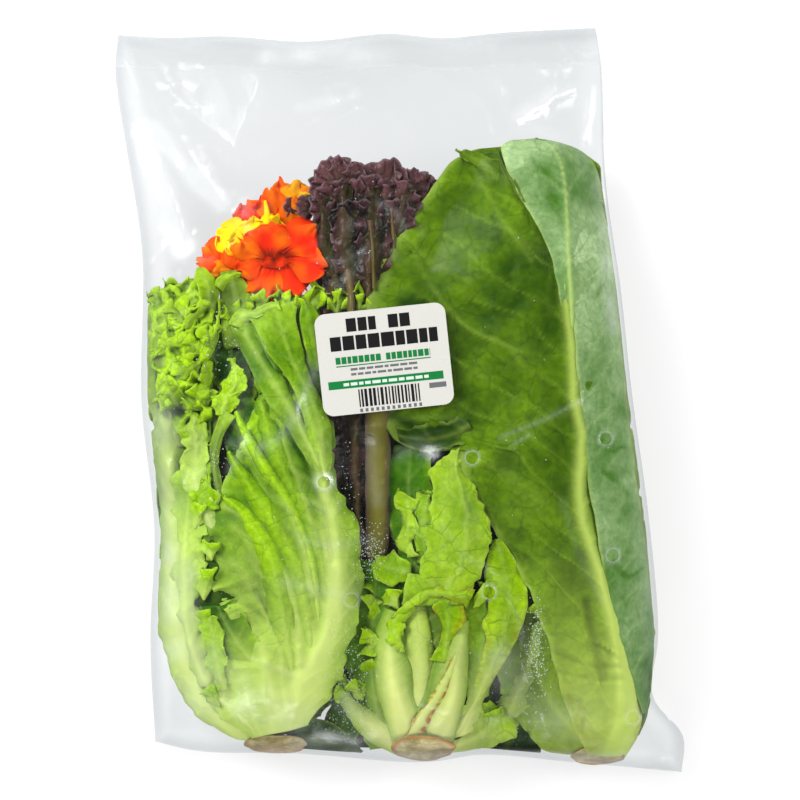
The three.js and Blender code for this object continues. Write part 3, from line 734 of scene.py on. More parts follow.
def frilly_leaves():
    piece = Piece()
    # Hazy outer leaf at the left, and a smooth leaf behind the clump
    blade(piece, "160,450 148,400 144,340 146,300", "196,445 190,390 184,340 176,300", [8, 6, 5, 6],
          form=CREST, young=[0.25, 0.35, 0.5], edge_tone_and_shade=0.4, pale=[0.3, 0.2, 0.1], drop=(3, 2), seed=22)
    blade(piece, "226,350 222,322 221,294 222,274", "256,345 256,315 251,290 238,271", [4, 2.8, 2.0, 2],
          form=SMOOTH, young=[0.25, 0.35, 0.5], edge_tone_and_shade=0.2, pale=0.1, seed=21)
    blade(piece, "216,286 219,279 228,274 238,272", "224,292 230,284 238,278 246,276", [1.4, 0.9, 0.9, 1.4],
          form=SMOOTH, young=0.8, edge_tone_and_shade=0.1, drop=(0.6, 0.6), pitch=0.9, seed=34)
    # Dark leaves deep in the gap beside the head, dark as painted shade
    blade(piece, "236,480 222,430 216,380 220,330", "262,470 262,420 252,370 244,325", [7, 6, 5, 6],
          form=CREST, young=[0.1, 0.0, 0.05], edge_tone_and_shade=0.1, seed=28)
    blade(piece, "200,440 194,400 196,350 190,310", "236,440 236,400 230,350 226,310", [8, 7, 7, 7],
          form=CREST, young=[0.1, 0.0, 0.0], edge_tone_and_shade=0.15, seed=29)
    # The curled mass, with its pockets where the photograph has them
    ruffles(piece, "182,440 168,412 156,386 150,360 149,330 152,304 162,289",
            "214,440 216,410 214,380 216,350 220,325 214,296 196,280",
            "179,318 196,303 176,336 202,339 194,353 205,318 190,331 186,374 165,361 208,368 162,318 158,303 "
            "172,297 187,288 160,338 200,385 178,352 172,392 190,396 206,402 214,326 206,293 180,410 196,416 "
            "210,422 150,320 150,345 156,376", seed=360)
    # Leaves that stand out of it: the top one with its turned edge, and the curls and ribbons beside it
    blade(piece, "206,312 201,300 199,288 196,278 198,268", "224,312 221,300 222,290 218,280 206,268",
          [3.5, 1.6, 1.0, 0.9, 1.8], form=SMOOTH, young=[0.35, 0.5, 0.7, 0.8], drop=(0.6, 1.5),
          edge_tone_and_shade=0.3, pitch=0.9, seed=30)
    # A dark patch, painted shade in the hollow under the turned edge
    blade(piece, "210,322 206,310 208,298", "222,318 222,306 220,298", [5, 4, 3.5], form=SMOOTH, young=0.0,
          edge_tone_and_shade=0, drop=(0.4, 0.4), pitch=0.9, seed=31)
    for k, (path, halves, young, depth) in enumerate([
        ("214,340 217,330 220,318 221,308 220,300", [2, 2.4, 2, 2, 3.2], 0.75, 1.0),
        ("219,320 226,316 228,310 224,305", [1.4, 1.6, 1.6, 1.2], 0.7, 0.8),
        ("204,340 210,334 216,328", [3.5, 5, 2.5], 0.6, 0.9),
        ("207,392 208,384 208,372 208,360", [3, 6, 6, 5], 0.65, 1.0),
        ("186,380 190,372 198,366 203,360", [4, 7, 6, 3], 0.45, 1.4),
        ("188,330 192,322 200,314 206,306", [3, 5, 4, 3], 0.6, 0.8),
        ("168,346 180,342 192,334 196,326", [3, 6, 5, 2], 0.8, 0.9),
        ("156,334 162,326 168,314 172,306", [5, 7, 5, 3], 0.5, 1.6),
        ("160,356 158,344 160,332", [6, 7, 4], 0.45, 1.8),
    ]):
        left, right = beside(path, halves)
        blade(piece, left, right, [depth + 1.2, depth, depth, depth + 0.8],
              form=dict(STRAP, teeth=(0.9, 3.5), ruffle=(0.8, 7)), young=young, edge_tone_and_shade=0.35,
              drop=(1.0, 1.0), pitch=0.8, seed=380 + k)
    blade(piece, "164,407 163,400 158,392 157,383 159,374", "192,404 188,396 182,388 177,379 168,374",
          [3.0, 1.4, 1.0, 0.9, 2], form=SMOOTH, young=[0.3, 0.45, 0.7, 0.8], edge_tone_and_shade=0.2, drop=(0.5, 0.5),
          pitch=0.9, seed=23, lines=[("164,407 172,396 180,388", -0.9, 0.8, 0),
          ("160,388 168,382", -0.5, 0.5, 0)])
    blade(piece, "218,416 211,398 217,394 223,388 229,376 231,366 229,356",
          "230,414 242,404 243,395 249,386 248,377 241,366 233,356", [3, 1.0, 0.5, 0.5, 0.6, 1.0, 2],
          form=dict(CREST, teeth=(1.1, 3.6), ruffle=(0.9, 8)), young=[0.9, 0.85, 0.8, 0.85], edge_tone_and_shade=0.3,
          drop=(0.5, 0.5), pitch=0.8, seed=24, lines=[("222,410 232,396 240,380", 0.5, 0.8, 0.08)])
    # Curled leaflets over the mass
    for k, (base, tip, spread, depth, young) in enumerate([
        ((190, 318), (166, 308), 110, 2.4, 0.5), ((196, 330), (180, 304), 100, 2.0, 0.55),
        ((180, 350), (160, 332), 110, 2.4, 0.45),
        ((204, 356), (186, 340), 120, 1.6, 0.6), ((200, 376), (172, 366), 110, 1.8, 0.45),
        ((216, 350), (206, 328), 100, 1.4, 0.5),
        ((186, 404), (164, 388), 110, 2.2, 0.4), ((208, 412), (194, 388), 100, 1.8, 0.5),
        ((212, 300), (188, 290), 110, 2.0, 0.6),
    ]):
        frill(piece, base, tip, spread, [depth + 2.5, depth + 0.5, depth], form=CURL, young=young, pitch=0.95,
              seed=420 + k)
    # Below it the lobed pale leaf and a green stalk
    blade(piece, "206,530 190,500 182,478 183,458 188,446 184,441 188,436 181,430 190,421 184,409",
          "224,530 216,505 211,480 211,460 210,448 210,440 210,434 208,426 204,418 192,408",
          [5, 3, 1.8, 1.2, 1.0, 1.0, 1.4, 2.5], form=dict(CREST, teeth=(0.8, 4)),
          young=[0.45, 0.55, 0.6, 0.75], edge_tone_and_shade=0.35, pale=[0.5, 0.45, 0.35, 0.1], pitch=0.9, seed=25)
    left, right = beside("222,500 216,470 216,450 222,430 230,412", [6, 5, 5, 6, 8])
    blade(piece, left, right, [5, 3.4, 2.6, 2.2, 2], form=STRAP, young=[0.3, 0.4, 0.5], pale=0.1, pitch=0.9,
          seed=26, lines=[("218,490 213,460 220,430", -0.6, 0.4, 0),
                          ("222,480 218,455 226,425", -0.6, 0.4, 0)])
    # Frills behind the two heads
    small = [
        ((164, 306), (153, 292), 5.0, 0.6), ((176, 304), (168, 288), 4.5, 0.7),
        ((188, 300), (182, 284), 4.0, 0.65),
        ((244, 330), (238, 302), 3.0, 0.5), ((270, 316), (262, 296), 3.0, 0.6),
        ((292, 316), (290, 295), 3.0, 0.6),
        ((312, 318), (308, 292), 3.5, 0.6), ((338, 316), (338, 294), 3.8, 0.6),
        ((360, 318), (358, 296), 4.0, 0.55),
    ]
    for k, (base, tip, depth, young) in enumerate(small):
        frill(piece, base, tip, 100, [depth + 3, depth + 1, depth], form=LEAFLET, young=young, pale=0.1,
              pitch=0.9, seed=320 + k)
    for k, (path, top, bottom, sway, wave) in enumerate([
        ("148,300 156,294 166,290 176,286 186,290", 3.0, 9, 1.6, 9),
        ("256,304 268,298 282,300 296,294", 2.0, 10, 2.0, 8),
        ("302,304 310,296 322,290 330,298", 2.5, 10, 2.2, 9),
        ("330,304 342,298 356,294 368,302", 3.0, 10, 2.2, 9),
    ]):
        margin(piece, path, top, bottom, sway=sway, wave=wave, lean=1.0, young=(0.0, 0.85), seed=200 + k)
    return piece


def heart_leaves():
    piece = Piece()
    # Outer leaves at both sides of the base
    blade(piece, "398,757 372,742 350,722 340,704 332,690", "402,738 384,718 360,700 350,686 346,672",
          [9, 7, 6, 6, 7], form=STALK, young=[0.3, 0.3, 0.35, 0.6], pale=[0.95, 0.8, 0.55, 0.2, 0.0], seed=41)
    blade(piece, "436,760 470,752 500,744 516,724 506,708", "446,744 466,730 476,716 482,704 490,698",
          [9, 7, 6, 5, 6], form=CREST, rib=0.6, young=[0.5, 0.5, 0.6, 0.7], pale=[0.9, 0.7, 0.5, 0.2, 0.0],
          seed=42)
    # Leaves that fill the gaps between the stalks and the right leaf, dark as painted shade in those gaps
    blade(piece, "474,745 494,718 508,690 522,655 528,620", "492,748 520,720 536,685 542,650 544,615",
          [9, 8, 8, 8, 9], form=CREST, rib=0.4, young=[0.2, 0.15, 0.1], pale=[0.7, 0.5, 0.35, 0.2], seed=57)
    blade(piece, "450,738 460,700 462,660 464,620 468,596", "474,732 488,700 498,660 504,620 504,590",
          [6, 5, 5, 5, 5.5], form=CREST, young=[0.4, 0.35, 0.3], pale=[0.9, 0.4, 0.1, 0], seed=58)
    blade(piece, "392,690 398,650 398,610 396,580", "440,690 446,650 446,610 440,580", [8, 7, 6, 6],
          form=CREST, young=[0.3, 0.25, 0.2], pale=[0.5, 0.2, 0.05], seed=59)
    blade(piece, "372,748 350,700 344,650 350,600 360,560", "410,748 400,700 398,650 398,600 396,560",
          [10, 7, 5.5, 5.5, 7], form=CREST, young=[0.1, 0.05, 0.05], edge_tone_and_shade=0.15, pale=[0.3, 0.1, 0],
          seed=35)
    # Right leaf with a yellowing edge
    blade(piece, "450,735 462,712 470,690 477,660 485,637 481,622 487,606 484,570 490,538",
          "466,728 474,708 492,680 511,648 523,618 526,588 518,566 508,548 499,536",
          [6, 4.5, 3.5, 2.6, 2.2, 2.2, 2.6, 4], form=SMOOTH, rib=0.55,
          young=[0.6, 0.55, 0.55, 0.6, 0.6, 0.5, 0.45], pale=[0.85, 0.65, 0.4, 0.1, 0, 0, 0],
          brown=[0, 0.2, 0.4, 0.3, 0, 0, 0], edge_tone_and_shade=0.45, drop=(2, 1), seed=43)
    # Leaves behind at the left
    blade(piece, "402,600 396,560 389,520 387,480 392,445", "430,600 432,560 430,520 430,480 430,440",
          [9, 7, 6, 5.5, 7], form=CREST, young=[0.2, 0.15, 0.1, 0.1], edge_tone_and_shade=0.2, seed=44)
    blade(piece, "406,556 404,528 402,508 389,487", "410,556 411,530 417,506 412,494", [4, 2.5, 2, 2.5],
          form=JAG, young=0.75, drop=(0.5, 0.5), seed=51)
    blade(piece, "422,560 414,530 416,505 428,486", "434,560 432,530 434,505 436,486", [4, 2.4, 2.4, 3],
          form=JAG, young=0.5, seed=52)
    # Stalks that spring from the cut, from behind to the front
    blade(piece, "408,738 404,700 402,660 404,630 408,602", "438,734 436,700 436,665 432,635 426,602",
          [6, 4.6, 4.4, 4.6, 5.5], form=STALK, young=0.5, pale=[0.85, 0.6, 0.45, 0.3, 0.1], seed=46,
          lines=[("414,735 412,690 412,640", -0.6, 0.9, 0), ("432,690 430,640", -0.6, 0.9, 0)])
    blade(piece, "394,744 384,714 377,690 374,660 376,630 384,606",
          "428,742 422,712 414,684 408,655 405,634 405,612", [4, 2.6, 2.2, 2.4, 3.4, 5], form=STALK, rib=0.45,
          young=[0.6, 0.5, 0.45, 0.5], pale=[0.95, 0.8, 0.6, 0.4, 0.15, 0.0], edge_tone_and_shade=-0.15, seed=45,
          lines=[("404,740 398,712 392,680 388,650", 0.4, 2.4, 0.2),
                 ("416,735 408,706 400,676", -0.4, 0.7, 0)])
    blade(piece, "404,744 414,714 425,690 431,664 442,640 455,618",
          "452,742 461,712 466,690 467,660 468,636 469,618", [3.4, 1.8, 1.4, 1.4, 1.8, 3], form=STALK,
          rib=0.7, young=[0.6, 0.5, 0.5, 0.6], pale=[0.95, 0.75, 0.5, 0.35, 0.2, 0.0], edge_tone_and_shade=-0.15,
          seed=47, lines=[("440,740 450,706 456,670 462,636", 0.5, 2.2, 0.2),
                          ("424,740 436,706 446,676", -0.3, 0.8, 0)])
    # The brown streak on the middle stalk
    blade(piece, "402,738 416,712 430,694 442,672 456,646", "420,738 434,712 446,694 456,672 465,644",
          [1.7, 1.2, 1.0, 0.9, 1.3], form=dict(STALK, teeth=(0.8, 6)), rib=0.3, young=0.5,
          pale=[0.8, 0.6, 0.5], brown=[1.6, 1.8, 2.0, 1.8, 0.8], drop=(0.9, 0.9), pitch=0.9, seed=53)
    # The small bright leaves that hang over the stalks
    blade(piece, "404,650 392,636 384,622 400,608", "405,648 403,632 402,620 410,606", [2.5, 1.6, 1.2, 1.4],
          form=JAG, young=[0.8, 0.85, 0.75], drop=(0.5, 0.5), seed=54)
    blade(piece, "434,658 440,640 438,622 428,606 430,597", "452,661 452,640 458,624 466,610 470,600",
          [1.6, 1.0, 0.8, 0.8, 1.6], form=CREST, young=[0.95, 0.85, 0.75, 0.7],
          brown=[0, 0.05, 0.4, 0.6, 0.5], drop=(0.5, 0.5), seed=50)
    # The blade over them, with its lower edge rolled up
    blade(piece, "403,604 404,590 408,572 422,578 419,562 426,544 413,528 432,522 429,505 "
                 "432,488 430,468 452,450", "466,602 470,590 479,574 484,560 488,545 491,527 486,514 480,500 "
                                            "474,485 468,470 462,456 460,447",
          [1.8, 1.1, 0.9, 0.8, 0.8, 1.0, 1.4, 2.4], form=dict(SMOOTH, teeth=(0.7, 4)),
          rib=[0.6, 0.62, 0.68, 0.7], young=[0.7, 0.62, 0.58, 0.55, 0.5], pale=[0.10, 0.05, 0.05, 0.1],
          drop=(0.8, 1.2), seed=48, lines=[("461,483 472,516 476,540 473,566 475,581", -0.4, 0.5, 0),
          ("455,452 446,500 440,560", 0.6, 3.0, 0.06)])
    blade(piece, "401,611 414,604 430,596 448,597 470,602", "404,600 416,590 432,585 450,586 476,590",
          [1.2, 0.5, 0.4, 0.5, 1.2], form=CREST, young=[0.9, 0.85, 0.75], edge_tone_and_shade=0.2,
          brown=[0, 0.1, 0.5, 0.3], drop=(0.5, 0.5), seed=49)
    blade(piece, "470,606 474,590 482,578", "478,604 486,588 492,572", [2, 1, 1.5], form=JAG, young=0.85,
          seed=55)
    # Small frilled leaves in the gap beside the other head
    blade(piece, "410,578 392,582 376,572 374,560", "412,562 404,556 388,554 378,555", [4, 3, 2.4, 3.4],
          form=CREST, young=[0.5, 0.6, 0.7], drop=(0.8, 0.8), seed=56)
    small = [
        ((400, 610), (386, 584), 60, 3, 0.85), ((384, 600), (364, 604), 70, 4, 0.65),
        ((384, 650), (364, 628), 80, 3.5, 0.85),
        ((372, 640), (368, 656), 80, 3.5, 0.85), ((364, 700), (352, 682), 80, 4, 0.9),
        ((352, 700), (338, 690), 80, 5, 0.6),
        ((400, 700), (362, 662), 60, 7, 0.4), ((500, 724), (486, 708), 90, 5, 0.6),
        ((380, 560), (364, 590), 60, 8, 0.3),
        ((392, 640), (376, 606), 60, 6, 0.45), ((540, 620), (534, 600), 70, 8, 0.5),
    ]
    for k, (base, tip, spread, depth, young) in enumerate(small):
        frill(piece, base, tip, spread, [depth + 2, depth], form=FRILL, young=young, pale=0.0, pitch=0.8,
              seed=60 + k)
    return piece


def red_leaves():
    piece = Piece()
    # Dark folds that run up from the stalk
    folds = [
        ("334,330 322,290 314,245 314,205", "362,330 354,290 344,240 344,190", 4.5, 0.1),
        ("348,330 338,290 332,240 334,185", "378,330 372,290 366,240 366,180", 3.4, 0.05),
        ("362,330 358,290 356,240 360,188", "386,300 392,260 396,220 396,182", 4.0, 0.05),
        ("372,300 380,262 388,222 392,190", "386,280 408,240 422,210 430,188", 5, 0.15),
    ]
    for k, (left, right, depth, young) in enumerate(folds):
        middle = (pixels(left) + pixels(right)) / 2
        blade(piece, left, right, [depth + 5, depth, depth - 1, depth], form=RED_FOLD, young=young,
              pale=[0.12, 0.03, 0.0], seed=80 + k, lines=[(middle - (6, 0), 1.4, 1.6, 0.12),
              (middle + (7, 3), -1.8, 1.4, 0), (middle, -1.0, 1.0, 0)])
    # Small lobed leaves, from behind to the front: tip, direction in degrees, depth, how light
    tips = [
        ((426, 184), 70, 9, 0.6), ((420, 174), 70, 7, 0.8), ((408, 171), 95, 6, 0.85),
        ((392, 168), 80, 5, 0.6), ((378, 169), 100, 5, 0.6), ((364, 168), 80, 4.6, 0.55),
        ((350, 164), 85, 4.4, 0.6),
        ((336, 165), 100, 4.4, 0.6), ((323, 171), 125, 4.2, 0.6), ((314, 182), 150, 4, 0.6),
        ((406, 194), 75, 6, 0.5), ((400, 186), 80, 4, 0.4), ((386, 186), 90, 3.6, 0.55),
        ((370, 184), 80, 3.4, 0.25),
        ((354, 182), 90, 3.0, 0.3), ((338, 184), 100, 3.0, 0.5), ((324, 190), 125, 2.8, 0.55),
        ((312, 200), 160, 3.0, 0.4),
        ((299, 203), 110, 3.6, 0.5), ((287, 207), 165, 3.4, 0.5), ((309, 203), 80, 3.4, 0.4),
        ((301, 211), 185, 3.0, 0.6),
        ((404, 208), 70, 3.4, 0.35), ((392, 206), 95, 2.8, 0.4), ((360, 206), 85, 3.2, 0.1),
        ((344, 206), 110, 2.6, 0.2),
        ((328, 212), 130, 4.5, 0.3), ((334, 232), 110, 5.5, 0.1), ((352, 230), 90, 3.6, 0.1),
        ((334, 258), 130, 5.5, 0.15), ((342, 266), 100, 4.4, 0.1), ((372, 236), 80, 4.0, 0.1),
    ]
    for k, (tip, heading, depth, young) in enumerate(tips):
        away = math.radians(heading)
        long = 16 if tip[0] < 312 and tip[1] > 196 else 30
        base = (tip[0] - long * math.cos(away), tip[1] + long * math.sin(away))
        # Lobes of the top row are lighter, a painted sheen, and the rest darker, painted shade; the last term
        # varies them at random
        varied = young + (0.3 if tip[1] < 192 else -0.1) + 0.14 * (7 * k % 5 - 2)
        frill(piece, base, tip, 112, [depth + 4, depth + 1.5, depth], form=RED_LEAFLET, young=varied,
              pale=0.05, pitch=0.95, seed=100 + k)
    # Stalks between the folds, and the dark leaf and olive stalk under the label
    for k, (path, wide, depth) in enumerate([
        ("374,290 373,255 370,222", 5, 2.6), ("394,250 393,232 391,210", 5, 3),
        ("352,315 351,290 346,262", 8, 2.8),
    ]):
        path = pixels(path)
        blade(piece, path - (wide / 2, 0), path + (wide / 2, 0), depth, form=STALK, young=0.7,
              pale=[0.35, 0.2, 0.0], pitch=1.0, seed=240 + k)
    blade(piece, "345,590 338,530 334,470 332,410 330,340", "380,590 378,530 378,470 376,410 374,340",
          [12, 9, 6, 5, 6], form=dict(RED_FOLD, pucker=(2.4, 9)), young=0.05, pale=0.0, seed=95,
          lines=[("346,560 344,500 346,440 344,400", -2.6, 2.0, 0),
                 ("360,560 358,500 356,440 360,400", 2.0, 1.8, 0.05)])
    blade(piece, "366,600 366,540 366,480 365,420 362,380", "384,600 388,540 390,480 390,420 388,380",
          [11, 6, 4, 3, 4], form=dict(STALK, veins=(7, 6.0, 0.4, 0.5)), young=0.6,
          pale=[0.1, 0.55, 0.8, 0.85, 0.8], seed=96,
          lines=[("378,590 379,520 380,450 378,390", -0.8, 0.8, 0)])
    return piece


def cut_ends():
    """The sawn ends of the stems, browned at their rims, that look towards the bottom seam."""
    piece = Piece()
    # Middle pixel, half width, length along Y, heights of its lower and upper rims, how brown its rim is
    ends = [((423, 746), 14.5, 12.5, 13, 40, 0.9),
            ((598, 755), 12.5, 8.5, 8, 22, 0.35),
            ((277, 743), 15.0, 9.0, 9, 24, 0.3)]
    for (px, py), half, tall, low, high, browned in ends:
        x0, y0 = at([(px, py)])[0]
        rows, turn = shares(14, 49, 0, 2 * np.pi)
        wobble = 1 + 0.05 * noise(9 * np.cos(turn), 9 * np.sin(turn), 3, px)
        x = x0 + half * rows * np.cos(turn) * wobble
        across = rows * np.sin(turn) * wobble
        y = y0 + across * tall / 2 - 0.5 * (1 - rows**2)
        z = low + (high - low) * (across + 1) / 2 + 0.35 * rough_noise(x, across * 12, 3, 7)
        over, under = height("front", x, y), height("back", x, y)
        z = np.minimum(z, np.maximum(over - 0.5, (over + under) / 2))
        rusty = browned * ease(rows, 0.78, 0.97) + (1.1 - browned) * ease(-across, -0.4, 0.9) * 0.6
        rusty = rusty + 0.15 * rough_noise(x, y, 4, 3)
        piece.add_grid(np.dstack([x, y, z]), brown=np.clip(rusty, 0, 1), pale=0.5, young=0.3)
    return piece


def water_drops():
    """Condensation: small flattened drops inside the film, thickest in the gaps between the heads."""
    piece = Piece()
    # Middle pixel, spread in pixels, how many, and the largest radius in mm
    clouds = [
        ((372, 550), (8, 15), 380, 0.34), ((535, 650), (6, 24), 520, 0.36), ((350, 672), (10, 26), 300, 0.34),
        ((228, 340), (14, 24), 40, 0.5), ((215, 365), (12, 18), 30, 0.45), ((262, 450), (40, 60), 40, 0.4),
        ((300, 600), (45, 60), 30, 0.36), ((430, 600), (45, 60), 40, 0.36), ((520, 420), (60, 90), 40, 0.36),
        ((350, 715), (18, 12), 220, 0.30), ((360, 230), (30, 36), 30, 0.4), ((505, 712), (16, 16), 200, 0.28),
        ((190, 560), (12, 60), 40, 0.35), ((215, 470), (6, 22), 90, 0.35), ((350, 480), (8, 30), 60, 0.36),
    ]
    # A drop of radius 1: its widest ring, a lower one, its lowest point and its top
    sides = 7
    bottom, top = 2 * sides, 2 * sides + 1
    turn = np.linspace(0, 2 * np.pi, sides + 1)[:-1]
    ring = np.column_stack([np.cos(turn), np.sin(turn)])
    widest = np.column_stack([ring, np.zeros(sides)])
    lower = np.column_stack([0.7 * ring, np.full(sides, -0.5)])
    shape = np.vstack([widest, lower, [[0, 0, -0.72]], [[0, 0, 0.04]]])
    faces = []
    for k in range(sides):
        n = (k + 1) % sides
        faces += [(k, sides + k, sides + n), (k, sides + n, n), (sides + k, bottom, sides + n), (top, k, n)]
    for middle, spread, many, largest in clouds:
        places = at(rng.normal(middle, spread, (many, 2)))
        x, y = kept_in(places[:, 0], places[:, 1], 4)
        z = height("front", x, y) + film_relief(x, y)[0] - 0.12
        for a, b, c, radius in zip(x, y, z, largest * rng.uniform(0.3, 1, many) ** 1.6):
            piece.add(shape * radius + (a, b, c), faces)
    return piece


# Flowers


PETAL_STEP = 0.6  # mm between a petal's points


def petal(piece, root, tip, width, depth, red, yellow, dark, seed):
    """One petal from its root pixel to its tip pixel: a narrow claw that opens to a plate, width mm wide.

    Its marks carry its colours: how red, how yellow, and how dark the lines that run into the throat are.
    """
    start, end = at([root, tip])
    length = np.linalg.norm(end - start)
    ahead = (end - start) / length
    r, t = shares(max(int(length / PETAL_STEP), 24), max(int(width / PETAL_STEP), 24), -1)
    plate = np.sqrt(np.clip(1 - np.clip((r - 0.62) / 0.40, 0, 1) ** 2.6, 0.03, 1))
    half = width / 2 * (0.22 + 0.78 * ease(r, 0.05, 0.6)) * plate
    edge = ease(r, 0.45, 1.0)
    notch = 1.3 * noise(t * 9, 0 * r, 3.0, seed) + 0.8 * noise(t * 9, 0 * r, 1.3, seed + 2)
    reach = length * r * (1 - 0.10 * t**2 * r) + notch * edge
    across = half * t + 0.7 * edge * noise(r * 20, t * 8, 4, seed + 3)
    x = start[0] + reach * ahead[0] - across * ahead[1]
    y = start[1] + reach * ahead[1] + across * ahead[0]
    x, y = kept_in(x, y)
    wave = 2.0 * edge * np.sin(3.4 * t + seed) + 1.3 * edge * noise(t * 12, r * 12, 3.4, seed)
    pleats = 0.25 * np.sin(11 * t + seed) * (1 - 0.5 * r)
    cup = 2.4 * (1 - r) ** 1.4 + 1.2 * t**2 * r
    z = under_film(x, y, depth + cup - wave - pleats)
    throat = dark * (1 - ease(r, 0.05, 0.34)) * (0.7 + 0.3 * np.cos(13 * t))
    veins = 0.10 * np.maximum(np.cos(16 * t * (1.1 - 0.5 * r)), 0) * (1 - r)
    # Where a petal's edge turns up it is painted more orange, as highlight, and where it dips redder, as
    # shade
    piece.add_grid(np.dstack([x, y, z]), young=np.clip(yellow + 0.10 * noise(x, y, 8, seed), 0, 1),
                   pale=np.clip(red + 0.3 * noise(x, y, 6, seed + 1) - 0.12 * wave, 0, 1),
                   brown=np.clip(throat + veins, 0, 1), edge=edge)


def flower_petals():
    piece = Piece()
    # Root, tip, width, depth, red, yellow and how dark the throat is, from behind to the front
    petals = [
        ((300, 215), (300, 184), 15, 8, 0.1, 0.15, 0.1), ((286, 212), (282, 181), 10, 7, 0.5, 0.05, 0.1),
        ((300, 215), (316, 192), 12, 7, 0.0, 0.2, 0.1),
        ((296, 206), (298, 184), 15, 5.5, 0.0, 0.45, 0.0), ((298, 208), (312, 194), 9, 5.5, 0.0, 0.5, 0.0),
        ((282, 232), (270, 190), 17, 6, 0.4, 0.12, 0.1), ((290, 236), (292, 200), 15, 5, 0.45, 0.12, 0.1),
        ((255, 228), (246, 203), 15, 7, 0.95, 0.0, 0.2), ((262, 226), (262, 200), 8, 7, 1.0, 0.0, 0.3),
        ((232, 262), (204, 246), 14, 7, 0.8, 0.0, 0.1), ((230, 268), (200, 262), 12, 6, 0.75, 0.1, 0.1),
        ((236, 270), (212, 274), 11, 5, 0.3, 0.15, 0.1), ((240, 274), (232, 248), 12, 4, 0.65, 0.05, 0.1),
        ((250, 246), (219, 230), 18, 5, 0.0, 1.0, 0.0), ((250, 244), (228, 244), 12, 4, 0.0, 0.95, 0.0),
        ((256, 242), (252, 218), 15, 4, 0.0, 1.0, 0.0), ((268, 240), (278, 218), 13, 4, 0.0, 1.0, 0.1),
        ((270, 262), (250, 292), 18, 4.5, 0.85, 0.0, 0.5), ((276, 264), (272, 299), 16, 4, 0.9, 0.0, 0.6),
        ((282, 262), (306, 290), 18, 4, 0.95, 0.0, 0.6), ((286, 260), (326, 270), 18, 2.6, 0.9, 0.0, 0.5),
        ((266, 258), (242, 240), 16, 2.4, 0.85, 0.0, 0.8), ((264, 262), (240, 272), 15, 3.0, 0.8, 0.0, 0.5),
        ((284, 256), (318, 229), 21, 1.6, 0.85, 0.0, 0.9), ((272, 258), (276, 224), 22, 1.2, 0.8, 0.02, 0.9),
    ]
    for k, (root, tip, width, depth, red, yellow, dark) in enumerate(petals):
        petal(piece, root, tip, width, depth, red, yellow, dark, seed=110 + k)
    # The front flower's throat, a small bowl
    rows, turn = shares(12, 41, 0, 2 * np.pi)
    x0, y0 = at("275,260")[0]
    x = x0 + 8.0 * rows * np.cos(turn)
    y = y0 + 4.5 * rows * np.sin(turn)
    z = under_film(x, y, 6.5 - 2.0 * rows**2 + 0.4 * noise(x, y, 2, 5))
    piece.add_grid(np.dstack([x, y, z]), pale=0.9, brown=np.clip(0.45 + 0.5 * noise(x, y, 3, 8), 0, 1))
    # The yellow flower's spur, a thin horn
    spur = curve(at("268,226 268,214 266,202"), 12)
    turn = np.linspace(0, 2 * np.pi, 11)
    thick = np.linspace(1.7, 0.4, 12)[:, None]
    x = spur[:, :1] + thick * np.cos(turn)
    y = spur[:, 1:] + 0 * turn
    z = under_film(x, y, 3.5 - thick * np.sin(turn))
    piece.add_grid(np.dstack([x, y, z]), young=0.9)
    return piece


# Materials


def linear(code):
    """Linear colour of an sRGB hex value such as #A0B0C0."""
    parts = [int(code[i : i + 2], 16) / 255 for i in (1, 3, 5)]
    return [c / 12.92 if c <= 0.04045 else ((c + 0.055) / 1.055) ** 2.4 for c in parts] + [1.0]


def new_material(name):
    """An empty material, and the function that adds a node to it.

    That function takes the kind of node, its inputs by name or number, each a value or another node's output,
    which of its outputs to hand back, and the node's own settings.
    """
    material = bpy.data.materials.new(name)
    material.use_nodes = True
    tree = material.node_tree
    tree.nodes.clear()

    def add(kind, inputs=None, give=0, **settings):
        made = tree.nodes.new("ShaderNode" + kind)
        for key, value in settings.items():
            setattr(made, key, value)
        for key, value in (inputs or {}).items():
            if hasattr(value, "is_output"):
                tree.links.new(value, made.inputs[key])
            else:
                made.inputs[key].default_value = value
        return made.outputs[give] if len(made.outputs) else made

    return material, add


def per_mm(size):
    """Scale of a pattern whose features are that many mm, for coordinates in metres."""
    return 1 / (size * MM)


# A Mix node blends inputs 6 and 7 by its input 0 into its output 2 when it is set to this
COLOURS = dict(give=2, data_type="RGBA")


